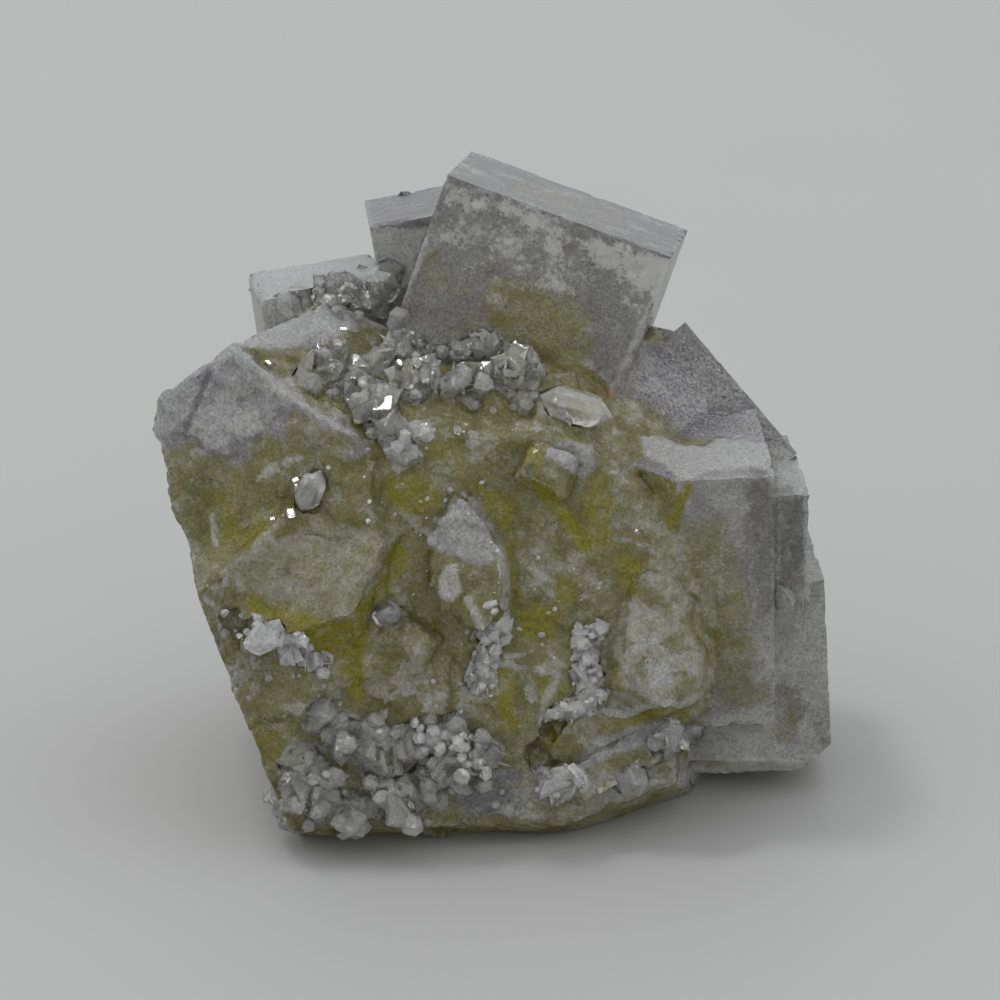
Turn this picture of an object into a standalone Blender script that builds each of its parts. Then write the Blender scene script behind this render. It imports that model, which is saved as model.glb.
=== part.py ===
"""Quartz on fluorite: a palm-sized cluster of intergrown fluorite cubes, broken in front, with quartz crusts.

Millimetres until the very end, +Z up, the viewer's side towards -Y. A crystal is placed by its centre and
three angles: heading (which way its front face looks, 0 to the front, 90 to the right), pitch (how far that
face tips up) and roll (how far the crystal leans over to the right in that face).
"""

import math
import random

import bmesh
import bpy
from mathutils import Matrix, Vector
from mathutils.bvhtree import BVHTree

MM = 0.001
SEAT_GAP = 0.15  # clearance between a quartz crust and the fluorite that it sits in
FLOOR_CLEARANCE = 0.1  # least height of a quartz crystal over the floor
STEM_RADIUS = 0.4  # of the quartz that joins the crystals of one string
STEM_DEPTH = 0.35  # how far up from its root a crystal is joined
MEETING_SHARE = 0.82  # roots closer than this share of both radii need no stem
QUARTZ_TIP = 1.05  # height of a quartz crystal's six-sided point, as a share of its radius
QUARTZ_TAPER = 0.94  # radius of its prism at the point, as a share of that at the root
SPACING = (1.2, 1.5)  # least and greatest step from crystal to crystal in a string, in radii
SHORTEST = 0.5  # least length that a string's crystal stands out by, in radii
SIDE_LEAN = 0.6  # how far such a crystal may lean to the sides
SHALLOW_REST = 0.35  # how high a single crystal's axis lies over the surface, in radii
DRAWING_TILT = 20.0  # seats are laid out on a plane that leans back by this, in degrees
RAY_START = 60.0  # how far in front of the plane a seat's line starts
RIM_DEPTH = 10.0  # how far in front of it the broken front's rim lies
FLAKE_HALF_WIDTH = 2.5  # of the lens-shaped flake in the middle of the front
FLAKE_HALF_HEIGHT = 4.6
FLAKE_TAPER = 0.62  # how much narrower the flake gets towards its upper point

# Where strings of quartz run over the front: (across, up) on the drawing plane, in millimetres.
UPPER_DRUSE_PATH = [
    (-12.2, 26.0), (-10.2, 26.9), (-8.0, 26.9), (-5.0, 27.8), (-2.8, 27.6), (-0.1, 28.0), (2.1, 26.4),
    (-1.5, 25.7), (-5.4, 25.7), (-9.3, 25.3), (-7.7, 23.8), (-5.8, 21.8),
]
UPPER_LEFT_PATH = [(-13.6, 31.0), (-11.6, 31.2), (-10.6, 32.2), (-9.2, 31.8), (-7.2, 32.2), (-6.7, 33.6)]
BASE_PATH = [
    (-12.9, 0.9), (-12.7, -1.0), (-11.2, -1.9), (-9.2, -1.8), (-6.6, -1.6), (-4.8, -0.8), (-3.5, 0.8),
    (-1.2, 1.5), (-2.5, 2.8), (-4.8, 2.2), (-7.5, 1.1), (-8.6, 2.4), (-10.3, 3.3), (-12.4, 4.4),
]
VEIN_PATH = [(6.5, 9.4), (6.5, 7.2), (6.1, 5.1), (4.4, 4.1), (3.6, 2.6), (3.1, 0.8), (4.4, -0.4), (6.4, -0.2)]
CENTRE_PATH = [(0.5, 10.5), (-0.1, 9.1), (-0.7, 7.6), (-1.0, 5.8)]
LEFT_PATH = [(-17.0, 10.3), (-15.6, 9.9), (-14.1, 9.3), (-12.9, 8.6), (-10.9, 7.4)]
PITTED_PATH = [(10.7, 1.9), (12.0, 2.4), (13.4, 2.8)]

# The largest crystal of the base crust stands up at its left end.
PEAK_ROOT = (-13.0, -12.6, 1.9)
PEAK_AXIS = (-0.12, -0.5, 1.0)
PEAK_RADIUS = 1.5
PEAK_LENGTH = 2.2

# Crystals that stand alone: place, radius, length, the way that they point, whether both ends are pointed.
SINGLE_CRYSTALS = {
    "lying_quartz": (5.2, 24.1, 1.25, 2.6, (1.0, -0.25, -0.22), True),
    "rounded_quartz": (9.1, -0.1, 1.2, 1.6, (0.15, -1.0, 0.2), False),
    "tabular_quartz": (-11.7, 18.9, 0.9, 1.7, (0.45, -0.3, 1.0), True),
    "right_quartz": (19.0, 11.6, 0.6, 0.9, (0.3, -0.8, 0.6), False),
    "grey_quartz": (-6.8, 10.8, 0.8, 1.6, (0.5, -0.8, 0.5), False),
}

FLUORITE_COLOUR = (0.15, 0.145, 0.09, 1.0)
QUARTZ_COLOUR = (0.55, 0.56, 0.55, 1.0)

# Cubes with most of their faces still whole: centre, edges (across, deep, high), heading, pitch, roll.
WHOLE_CUBES = {
    "top_cube": ((2.5, 5.5, 30.8), (15.7, 15.2, 15.8), -6.0, 10.6, 18.5),
    "right_diamond_cube": ((10.5, 5.4, 19.9), (11.5, 12.0, 16.0), 0.0, 20.0, 49.5),
    "right_step_cube": ((13.7, -0.9, 14.3), (13.0, 10.0, 16.0), 6.0, -4.0, 1.0),
    "upper_left_cube": ((-11.3, 7.6, 28.3), (8.6, 9.0, 8.6), 8.0, 6.0, -7.0),
    "crest_cube": ((-3.9, 10.6, 32.4), (7.8, 8.0, 9.0), 4.0, 4.0, -10.0),
    "back_left_cube": ((-9.5, 10.5, 15.0), (15.0, 13.0, 15.0), 12.0, -6.0, 8.0),
    "back_right_cube": ((7.5, 12.0, 11.5), (13.0, 12.0, 13.0), -16.0, 5.0, -11.0),
    "back_crest_cube": ((-1.0, 13.2, 24.5), (9.0, 8.0, 9.0), 24.0, 10.0, 21.0),
}


def direction(heading, pitch):
    """Unit vector that looks along a heading and a pitch, in degrees."""
    h, p = math.radians(heading), math.radians(pitch)
    return Vector((math.sin(h) * math.cos(p), -math.cos(h) * math.cos(p), math.sin(p)))


def attitude(heading, pitch, roll):
    """Rotation of a crystal whose front face looks along heading and pitch and which leans by roll."""
    front = direction(heading, pitch)
    upright = Vector((0, 0, 1)) - front * front.z
    upright = Matrix.Rotation(math.radians(roll), 3, -front) @ upright.normalized()
    right = (-front).cross(upright)
    return Matrix((right, -front, upright)).transposed().to_4x4()


def block(centre, size, heading=0.0, pitch=0.0, roll=0.0):
    """A rectangular crystal as a bmesh."""
    bm = bmesh.new()
    scale = Matrix.Diagonal((*size, 1.0))
    place = Matrix.Translation(centre) @ attitude(heading, pitch, roll)
    bmesh.ops.create_cube(bm, size=1.0, matrix=place @ scale)
    return bm


def cleave(bm, through, heading, pitch):
    """Breaks off all that lies beyond a plane that faces along heading and pitch."""
    whole = bm.verts[:] + bm.edges[:] + bm.faces[:]
    cut = bmesh.ops.bisect_plane(
        bm, geom=whole, plane_co=through, plane_no=direction(heading, pitch), clear_outer=True
    )
    bmesh.ops.holes_fill(bm, edges=[e for e in cut["geom_cut"] if isinstance(e, bmesh.types.BMEdge)])


def main_mass():
    """The body that all the cubes grow from: broken in front, undercut at both sides, flat underneath."""
    bm = block((-2.0, 0.0, 15.0), (46.0, 30.0, 30.0))
    cleave(bm, (-2.0, -14.4, 0.0), 7, 9)
    cleave(bm, (-14.0, -13.0, 3.5), -88, -20)
    cleave(bm, (0.0, -14.2, 1.8), 3, -60)
    cleave(bm, (-20.8, -8.0, 24.0), -86, -8)
    cleave(bm, (-2.8, -10.3, 27.3), 12, 52)
    cleave(bm, (-9.0, -10.9, 26.4), -60, 50)
    cleave(bm, (7.0, -6.0, 27.4), 50, 45)
    cleave(bm, (12.6, -8.0, 14.0), 78, 0)
    cleave(bm, (7.6, -10.0, 0.6), 40, -48)
    cleave(bm, (8.0, 12.0, 8.0), 150, 12)
    cleave(bm, (-14.0, 12.0, 8.0), -145, 10)
    cleave(bm, (0.0, 12.0, 0.0), 180, -42)
    return bm


def left_shoulder():
    """The left crystal: one corner stands up, and a straight edge runs down from it to the right."""
    corner = (-16.9, -8.2, 33.0)
    bm = block((-14.0, -2.0, 18.0), (19.0, 22.0, 32.0))
    cleave(bm, corner, -20, 9)
    cleave(bm, corner, 58, 56)
    cleave(bm, corner, -122, 51)
    cleave(bm, (-7.6, -11.0, 27.0), 72, 6)
    cleave(bm, (-21.3, -8.0, 25.0), -84, -6)
    cleave(bm, (-14.0, 7.0, 20.0), 170, 20)
    cleave(bm, (-13.0, -13.0, 3.5), -84, -22)
    cleave(bm, (-12.0, -12.0, 12.0), -10, -40)
    return bm


def right_front_cube():
    """The cube at the right of the front, whole on its right and top, its left front edge broken away."""
    bm = block((13.0, -4.0, 15.9), (10.4, 10.0, 18.4), 4.0, -7.0, -2.0)
    cleave(bm, (12.2, -9.4, 15.0), -42, -4)
    cleave(bm, (10.8, -8.6, 8.6), -20, -40)
    return bm


def lower_right_cube():
    """The cube at the lower right, with its lower front edge and corner worn off."""
    bm = block((15.2, 1.2, 7.9), (13.8, 13.0, 13.9), 3.0, 2.0, -3.0)
    cleave(bm, (20.0, -5.0, 2.4), 0, -50)
    cleave(bm, (21.9, -4.0, 2.8), 75, -45)
    return bm


def tan_cleavage_step():
    """A kite-shaped cleavage face that stands out of the broken front, left of the middle."""
    bm = block((-11.5, -11.5, 15.5), (12.0, 8.0, 12.0))
    cleave(bm, (-11.5, -14.6, 17.6), -16, 27)
    cleave(bm, (-10.0, -14.4, 15.4), 8, -34)
    cleave(bm, (-7.6, -13.4, 18.4), 62, -12)
    cleave(bm, (-16.6, -12.6, 18.0), -80, 0)
    cleave(bm, (-14.5, -12.0, 20.4), -50, 48)
    return bm


def pale_boss():
    """A raised cloudy patch at the right of the front, with a bright lower rim."""
    bm = block((10.6, -9.9, 12.6), (8.4, 6.0, 9.8), 10.0, 21.0, 8.0)
    cleave(bm, (14.0, -11.0, 12.6), 62, 20)
    cleave(bm, (13.4, -11.8, 10.4), 48, -34)
    cleave(bm, (7.6, -12.4, 12.6), -58, 24)
    cleave(bm, (8.6, -11.4, 9.2), -30, -44)
    return bm


def centre_flake():
    """A pale lens-shaped flake that stands up in the middle of the front."""
    bm = bmesh.new()
    place = Matrix.Translation((-1.3, -11.7, 19.2)) @ attitude(-20, 20, -16)
    bmesh.ops.create_cone(bm, cap_ends=True, segments=12, radius1=1.0, radius2=0.74, depth=3.4)
    for vert in bm.verts:
        vert.co.x *= FLAKE_HALF_WIDTH * (1.0 - FLAKE_TAPER * max(0.0, vert.co.y) ** 2)
        vert.co.y *= FLAKE_HALF_HEIGHT
        vert.co.z = -vert.co.z
    bm.transform(place @ Matrix.Rotation(math.pi / 2, 4, "X"))
    bmesh.ops.recalc_face_normals(bm, faces=bm.faces)
    return bm


def flake_under_druse():
    """A thin grey flake at the right of the front, just under the upper hollow."""
    bm = block((3.6, -10.2, 25.0), (3.6, 2.4, 2.6), 14.0, 30.0, 32.0)
    cleave(bm, (5.0, -11.0, 25.0), 60, 0)
    return bm


def lower_ledge():
    """A smooth ledge that climbs to the right, above the quartz at the lower right."""
    return block((8.4, -11.6, 5.2), (7.6, 3.4, 2.4), 12.0, 30.0, -24.0)


def left_lump():
    """A low broken lump between the tan step and the centre flake."""
    bm = block((-6.4, -12.0, 13.2), (4.6, 4.0, 5.4), -14.0, 17.0, 30.0)
    cleave(bm, (-5.0, -14.0, 16.0), 30, 40)
    cleave(bm, (-6.0, -13.6, 12.2), 10, -30)
    return bm


BROKEN_CRYSTALS = {
    "flake_under_druse": flake_under_druse,
    "lower_ledge": lower_ledge,
    "left_lump": left_lump,
    "left_shoulder": left_shoulder,
    "right_front_cube": right_front_cube,
    "lower_right_cube": lower_right_cube,
    "tan_cleavage_step": tan_cleavage_step,
    "pale_boss": pale_boss,
    "centre_flake": centre_flake,
}


def material(name, colour, roughness):
    """A plain Principled finish."""
    made = bpy.data.materials.new(name)
    made.use_nodes = True
    shader = made.node_tree.nodes["Principled BSDF"]
    shader.inputs["Base Color"].default_value = colour
    shader.inputs["Roughness"].default_value = roughness
    shader.inputs["Metallic"].default_value = 0.0
    return made


def put(bm, name, collection, helper=False):
    """Turns a bmesh in millimetres into an object in metres."""
    bmesh.ops.scale(bm, vec=(MM, MM, MM), verts=bm.verts)
    mesh = bpy.data.meshes.new(name)
    bm.to_mesh(mesh)
    bm.free()
    made = bpy.data.objects.new(name, mesh)
    collection.objects.link(made)
    if helper:
        made.hide_render = True
        made.display_type = "WIRE"
    return made


def new_collection(name, parent=None):
    made = bpy.data.collections.new(name)
    (parent or bpy.context.scene.collection).children.link(made)
    return made


def combine(target, operation, collection):
    """A Boolean of the target with every object of a collection."""
    modifier = target.modifiers.new(operation.lower(), "BOOLEAN")
    modifier.operation = operation
    modifier.solver = "EXACT"
    modifier.operand_type = "COLLECTION"
    modifier.collection = collection


class Seat:
    """Finds where a place on the leaning drawing plane falls on the fluorite's surface."""

    def __init__(self, solid):
        graph = bpy.context.evaluated_depsgraph_get()
        self.tree = BVHTree.FromObject(solid, graph)
        self.towards = direction(0, DRAWING_TILT)
        self.upright = self.towards.cross(Vector((1, 0, 0)))

    def find(self, across, up):
        """Point and outward normal of the surface behind (across, up), or of the rim nearest to it."""
        on_plane = Vector((across, 0, 0)) + self.upright * up
        start = on_plane + self.towards * RAY_START
        point, normal, _, _ = self.tree.ray_cast(start * MM, -self.towards)
        if point is None:
            point, normal, _, _ = self.tree.find_nearest((on_plane + self.towards * RIM_DEPTH) * MM)
        return point / MM, normal


class Quartz:
    """One six-sided quartz crystal: a prism with a point at its free end, or at both."""

    def __init__(self, root, axis, radius, length, spin, both_ends=False):
        self.root, self.axis, self.spin, self.both_ends = root, axis.normalized(), spin, both_ends
        self.radius, self.length = radius, length

    def lift_off_floor(self):
        """Raises a crystal that would reach under the fluorite's resting face."""
        tip = self.root + self.axis * (self.length + self.radius * QUARTZ_TIP)
        lowest = min(self.root.z - self.radius, tip.z - self.radius * 0.6)
        self.root.z += max(0.0, FLOOR_CLEARANCE - lowest)

    def shape(self, grow=0.0):
        """The crystal as a bmesh, made bigger all round by grow for the socket that it leaves."""
        radius = self.radius + grow * 1.2
        length = self.length + grow * 2.4
        bm = bmesh.new()
        middle = self.root + self.axis * (self.length / 2)
        turn = self.axis.to_track_quat("Z", "Y").to_matrix().to_4x4() @ Matrix.Rotation(self.spin, 4, "Z")
        bmesh.ops.create_cone(
            bm, cap_ends=True, segments=6, radius1=radius, radius2=radius * QUARTZ_TAPER, depth=length,
            matrix=Matrix.Translation(middle) @ turn,
        )
        bm.normal_update()
        ends = [f for f in bm.faces if len(f.verts) == 6]
        ends.sort(key=lambda f: f.calc_center_median().dot(self.axis))
        pointed = ends if self.both_ends else ends[1:]
        bmesh.ops.poke(bm, faces=pointed, offset=radius * QUARTZ_TIP)
        return bm


def stem_between(one, other):
    """A thin stem of quartz that joins two crystals whose roots stand too far apart to meet."""
    run = other.root - one.root
    if run.length < (one.radius + other.radius) * MEETING_SHARE:
        return []
    start = one.root + one.axis * STEM_DEPTH
    return [Quartz(start, run, STEM_RADIUS, run.length, 0.0)]


def string_of_quartz(seat, path, radii, rooted, seed, stand=1.6):
    """Crystals set close enough along a path to run into each other, leaning each its own way."""
    rng = random.Random(seed)
    crystals = []
    radius = rng.uniform(*radii)
    for (x0, y0), (x1, y1) in zip(path, path[1:]):
        run = math.hypot(x1 - x0, y1 - y0)
        walked = 0.0
        while walked < run:
            share = walked / run
            point, normal = seat.find(x0 + (x1 - x0) * share, y0 + (y1 - y0) * share)
            lean = (rng.uniform(-SIDE_LEAN, SIDE_LEAN), rng.uniform(-0.5, 0.2), rng.uniform(-0.3, 0.7))
            axis = normal + Vector(lean)
            length = rooted + radius * rng.uniform(SHORTEST, stand)
            crystal = Quartz(point - normal * rooted, axis, radius, length, rng.uniform(0, 1))
            crystal.lift_off_floor()
            if crystals:
                crystals += stem_between(crystals[-1], crystal)
            crystals.append(crystal)
            walked += radius * rng.uniform(*SPACING)
            radius = rng.uniform(*radii)
    return crystals


def quartz_groups(seat):
    """Every quartz node with its crystals."""
    groups = {
        "upper_druse": string_of_quartz(seat, UPPER_DRUSE_PATH, (0.75, 1.2), 0.8, 11),
        "upper_left_quartz": string_of_quartz(seat, UPPER_LEFT_PATH, (0.85, 1.2), 0.9, 5, 2.4),
        "base_crust": string_of_quartz(seat, BASE_PATH, (0.8, 1.4), 0.9, 23),
        "front_vein": string_of_quartz(seat, VEIN_PATH, (0.6, 0.95), 0.8, 7),
        "centre_string": string_of_quartz(seat, CENTRE_PATH, (0.5, 0.8), 0.7, 3),
        "left_string": string_of_quartz(seat, LEFT_PATH, (0.5, 0.85), 0.7, 9),
        "pitted_quartz": string_of_quartz(seat, PITTED_PATH, (0.6, 0.95), 0.8, 14),
    }
    groups["base_crust"].append(Quartz(Vector(PEAK_ROOT), Vector(PEAK_AXIS), PEAK_RADIUS, PEAK_LENGTH, 0.4))
    for name, (across, up, radius, length, axis, both_ends) in SINGLE_CRYSTALS.items():
        point, normal = seat.find(across, up)
        lie = Vector(axis)
        middle = point + normal * radius * SHALLOW_REST
        groups[name] = [Quartz(middle - lie.normalized() * length / 2, lie, radius, length, 0.3, both_ends)]
    return groups


def drop_loose_chips(solid):
    """Applies the solid's Booleans and keeps its largest piece, without chips that the sockets cut loose."""
    evaluated = solid.evaluated_get(bpy.context.evaluated_depsgraph_get())
    bm = bmesh.new()
    bm.from_mesh(evaluated.to_mesh())
    pieces = []
    waiting = set(bm.verts)
    while waiting:
        piece = {waiting.pop()}
        edge_of_piece = list(piece)
        while edge_of_piece:
            vert = edge_of_piece.pop()
            near = {edge.other_vert(vert) for edge in vert.link_edges} - piece
            piece |= near
            edge_of_piece += near
        waiting -= piece
        pieces.append(piece)
    pieces.sort(key=len)
    chips = [vert for piece in pieces[:-1] for vert in piece]
    bmesh.ops.delete(bm, geom=chips, context="VERTS")
    solid.modifiers.clear()
    bm.to_mesh(solid.data)
    bm.free()


def stand_on_origin(solids):
    """Moves everything so that the middle of the footprint box is the origin, at floor height."""
    graph = bpy.context.evaluated_depsgraph_get()
    corners = []
    for solid in solids:
        evaluated = solid.evaluated_get(graph)
        corners += [evaluated.matrix_world @ Vector(corner) for corner in evaluated.bound_box]
    low = Vector([min(corner[axis] for corner in corners) for axis in range(3)])
    high = Vector([max(corner[axis] for corner in corners) for axis in range(3)])
    shift = Vector((-(low.x + high.x) / 2, -(low.y + high.y) / 2, -low.z))
    for made in bpy.data.objects:
        made.location += shift


def main():
    for old in list(bpy.data.objects):
        bpy.data.objects.remove(old, do_unlink=True)
    specimen = new_collection("quartz_on_fluorite")
    cubes = new_collection("fluorite_crystals")
    sockets = new_collection("quartz_sockets")
    fluorite = put(main_mass(), "fluorite_cluster", specimen)
    fluorite.data.materials.append(material("fluorite", FLUORITE_COLOUR, 0.45))
    for name, (centre, size, heading, pitch, roll) in WHOLE_CUBES.items():
        put(block(centre, size, heading, pitch, roll), name, cubes, helper=True)
    for name, shape in BROKEN_CRYSTALS.items():
        put(shape(), name, cubes, helper=True)
    combine(fluorite, "UNION", cubes)

    clear = material("quartz", QUARTZ_COLOUR, 0.12)
    solids = [fluorite]
    for name, crystals in quartz_groups(Seat(fluorite)).items():
        crust = put(crystals[0].shape(), name, specimen)
        crust.data.materials.append(clear)
        others = new_collection(name + "_crystals")
        for number, crystal in enumerate(crystals):
            put(crystal.shape(SEAT_GAP), f"{name}_socket_{number}", sockets, helper=True)
            if number:
                put(crystal.shape(), f"{name}_crystal_{number}", others, helper=True)
        if len(crystals) > 1:
            combine(crust, "UNION", others)
        solids.append(crust)
    combine(fluorite, "DIFFERENCE", sockets)
    drop_loose_chips(fluorite)
    stand_on_origin(solids)


main()
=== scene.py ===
"""Quartz on fluorite: the looks of a cluster of frosted fluorite cubes with crusts of small quartz crystals.

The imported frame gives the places. The fluorite gets a finer mesh of its own, with chips, growth relief and painted
zones of frost, powder and olive. Each quartz crust is pressed on to it and gets small crystals, fields of loose
crystals lie between them, and every piece gets a procedural finish. Lengths in the classes are millimetres, and
places on the front are points of the main view's square frame, 1000 points wide.
"""

from __future__ import annotations

import logging
import math
import random
from dataclasses import dataclass, field
from enum import Enum

import bmesh
import bpy
import numpy as np
from mathutils import Matrix, Vector, noise
from mathutils.bvhtree import BVHTree


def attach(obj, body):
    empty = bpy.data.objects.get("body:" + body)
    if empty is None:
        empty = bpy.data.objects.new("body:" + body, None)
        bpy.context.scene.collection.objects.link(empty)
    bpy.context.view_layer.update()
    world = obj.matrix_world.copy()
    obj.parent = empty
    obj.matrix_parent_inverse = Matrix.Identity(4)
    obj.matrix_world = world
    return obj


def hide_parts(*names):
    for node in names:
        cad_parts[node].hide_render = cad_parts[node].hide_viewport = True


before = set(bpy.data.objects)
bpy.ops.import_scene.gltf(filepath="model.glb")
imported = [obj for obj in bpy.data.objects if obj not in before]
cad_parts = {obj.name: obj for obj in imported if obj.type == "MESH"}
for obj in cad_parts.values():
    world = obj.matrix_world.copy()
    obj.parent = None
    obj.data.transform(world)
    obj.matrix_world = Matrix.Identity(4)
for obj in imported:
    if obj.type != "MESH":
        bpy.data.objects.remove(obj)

LOG = logging.getLogger("quartz_on_fluorite")
MM = 0.001
CLUSTER = "fluorite_cluster"
MILK = "milk"
NODE_MERGE = 0.004  # Millimetres within which corners of a node's loose triangles are one.
FLAT_ANGLE = 0.4  # Degrees within which its triangles lie in one face.
NOISE_SEED = 7  # Sets the offsets of the noise vectors, which would differ in each run without it.
SPLIT_ROUNDS = 12  # Most rounds of halving long edges.
SPLIT_SLACK = 1.35  # How many times the stated length an edge may have.
EYE_LIFT = 0.3  # Millimetres by which a sight line starts clear of the surface.
ONE_AXIS_EACH = {"use_axis_x": True, "use_axis_y": True, "use_axis_z": True}
Colour = tuple[float, float, float]
Socket = bpy.types.NodeSocket
Spot = tuple[float, float]


def smooth_share(low: float, high: float, values: np.ndarray) -> np.ndarray:
    """Rises smoothly from 0 at low to 1 at high.

    Args:
        low: Value at which the share leaves 0.
        high: Value at which it reaches 1.
        values: What is shared out.

    Returns:
        One share for each value.
    """
    share = np.clip((values - low) / (high - low), 0.0, 1.0)
    return share * share * (3.0 - 2.0 * share)


def attitude(heading: float, pitch: float, roll: float) -> Matrix:
    """Rotation of a crystal.

    Args:
        heading: Way that its front face looks, in degrees, 0 to the viewer and 90 to the right.
        pitch: How far that face tips up.
        roll: How far the crystal leans to the right in that face.

    Returns:
        A rotation whose columns are the crystal's right, back and up.
    """
    h, p = math.radians(heading), math.radians(pitch)
    front = Vector((math.sin(h) * math.cos(p), -math.cos(h) * math.cos(p), math.sin(p)))
    upright = (Vector((0, 0, 1)) - front * front.z).normalized()
    upright = Matrix.Rotation(math.radians(roll), 3, -front) @ upright
    right = (-front).cross(upright)
    return Matrix((right, -front, upright)).transposed()


@dataclass(frozen=True)
class MainView:
    """The main camera: where it stands, and how places and frame points answer each other."""

    target: tuple[float, float, float] = (0.462, -1.558, 19.4)
    distance: float = 400.0
    elevation: float = 20.0
    field_width: float = 67.0
    frame_points: float = 1000.0
    sensor: float = 36.0

    def axes(self) -> tuple[np.ndarray, np.ndarray, np.ndarray]:
        """Right, up and towards-the-camera directions."""
        tilt = math.radians(self.elevation)
        right = np.array((1.0, 0.0, 0.0))
        up = np.array((0.0, math.sin(tilt), math.cos(tilt)))
        towards = np.array((0.0, -math.cos(tilt), math.sin(tilt)))
        return right, up, towards

    def eye(self) -> np.ndarray:
        """The camera's place in millimetres."""
        return np.array(self.target) + self.axes()[2] * self.distance

    def project(self, places: np.ndarray) -> np.ndarray:
        """Frame points of places.

        Args:
            places: N by 3, in millimetres.

        Returns:
            N by 2, in frame points from the upper left corner.
        """
        right, up, towards = self.axes()
        away = places - self.eye()
        depth = -(away @ towards)
        scale = self.distance / self.field_width * self.frame_points / depth
        half = self.frame_points / 2
        return np.stack((half + away @ right * scale, half - away @ up * scale), axis=1)

    def ray(self, spot: Spot) -> tuple[Vector, Vector]:
        """Sight line through a frame point.

        Args:
            spot: The frame point.

        Returns:
            Its start, in metres, and its direction.
        """
        right, up, towards = self.axes()
        half = self.frame_points / 2
        step = self.field_width / self.frame_points
        through = right * (spot[0] - half) * step + up * (half - spot[1]) * step - towards * self.distance
        return Vector(self.eye() * MM), Vector(through).normalized()

    def build(self) -> bpy.types.Object:
        """Makes the camera and takes it into use."""
        data = bpy.data.cameras.new("main_view")
        data.sensor_width = self.sensor
        data.lens = self.sensor * self.distance / self.field_width
        data.clip_start, data.clip_end = 0.01, 20.0
        camera = bpy.data.objects.new("main_view", data)
        camera.location = Vector(self.eye() * MM)
        camera.rotation_euler = (math.radians(90.0 - self.elevation), 0.0, 0.0)
        bpy.context.scene.collection.objects.link(camera)
        bpy.context.scene.camera = camera
        return camera


VIEW = MainView()


class Zone(Enum):
    """What a patch of the fluorite's surface shows. The value is the name of the mesh attribute."""

    CORE = "core"
    VIVID = "vivid"
    # Frost, and also painted light on the diamond face and the right side faces.
    FROST_AND_LIGHT = "frost"
    POWDER = "powder"
    VIOLET = "violet"
    # Dark strips of the crystal, and painted shade on faces of the top cube and the crest.
    DARK = "dark"
    GRAIN = "grain"
    RUST = "rust"
    EDGE = "edge"
    BROKEN = "broken"


class Clarity(Enum):
    """How clear a piece's quartz is."""

    GLASSY = "glassy_quartz"
    STAINED = "stained_quartz"
    MILKY = "milky_quartz"


@dataclass(frozen=True)
class Patch:
    """A soft-edged zone on the front: an outline in frame points, and what it does there.

    Attributes:
        zone: What the patch shows.
        outline: Corners of a closed outline, or of a line if width is set.
        strength: Share that it sets.
        edge: Softness of its border, in frame points.
        width: Half width of a line patch, or 0 for a filled outline.
        raised: How far the surface stands out there, in millimetres.
        clears: Zones that it takes away.
    """

    zone: Zone
    outline: tuple[Spot, ...]
    strength: float = 1.0
    edge: float = 8.0
    width: float = 0.0
    raised: float = 0.0
    clears: tuple[Zone, ...] = ()

    def mask(self, spots: np.ndarray, wobble: np.ndarray) -> np.ndarray:
        """Share of the patch at each frame point.

        Args:
            spots: N by 2 frame points.
            wobble: N values between -1 and 1 that fray the border.

        Returns:
            N shares.
        """
        corners = np.array(self.outline, float)
        ends = corners[1:] if self.width else np.roll(corners, -1, axis=0)
        starts = corners[: len(ends)]
        nearest = np.full(len(spots), np.inf)
        inside = np.zeros(len(spots), bool)
        for start, end in zip(starts, ends):
            run = end - start
            share = np.clip(((spots - start) @ run) / max(run @ run, 1e-9), 0.0, 1.0)
            gap = np.linalg.norm(spots - start - share[:, None] * run, axis=1)
            nearest = np.minimum(nearest, gap)
            crosses = (start[1] > spots[:, 1]) != (end[1] > spots[:, 1])
            rise = run[1] if abs(run[1]) > 1e-9 else 1e-9
            inside ^= crosses & (spots[:, 0] < start[0] + (spots[:, 1] - start[1]) * run[0] / rise)
        reach = self.width - nearest if self.width else np.where(inside, nearest, -nearest)
        return smooth_share(-self.edge, self.edge, reach + wobble * self.edge)


@dataclass(frozen=True)
class GrownCube:
    """A fluorite cube with whole faces, as it lies in the frame.

    Attributes:
        centre: Its middle, in millimetres.
        edges: Its sizes across, deep and high.
        turn: Heading, pitch and roll, in degrees.
        rim: Width of the colourless rim that its core keeps from its edges.
        core: Share of olive that the core reaches.
    """

    centre: tuple[float, float, float]
    edges: tuple[float, float, float]
    turn: tuple[float, float, float]
    rim: float = 3.4
    core: float = 0.8

    def depths(self, places: np.ndarray) -> np.ndarray:
        """Depths of places below the cube's three pairs of faces.

        Args:
            places: N by 3, in millimetres.

        Returns:
            N by 3 depths, least first. Negative is outside.
        """
        local = (places - np.array(self.centre)) @ np.array(attitude(*self.turn))
        return np.sort(np.array(self.edges) / 2 - np.abs(local), axis=1)


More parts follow.
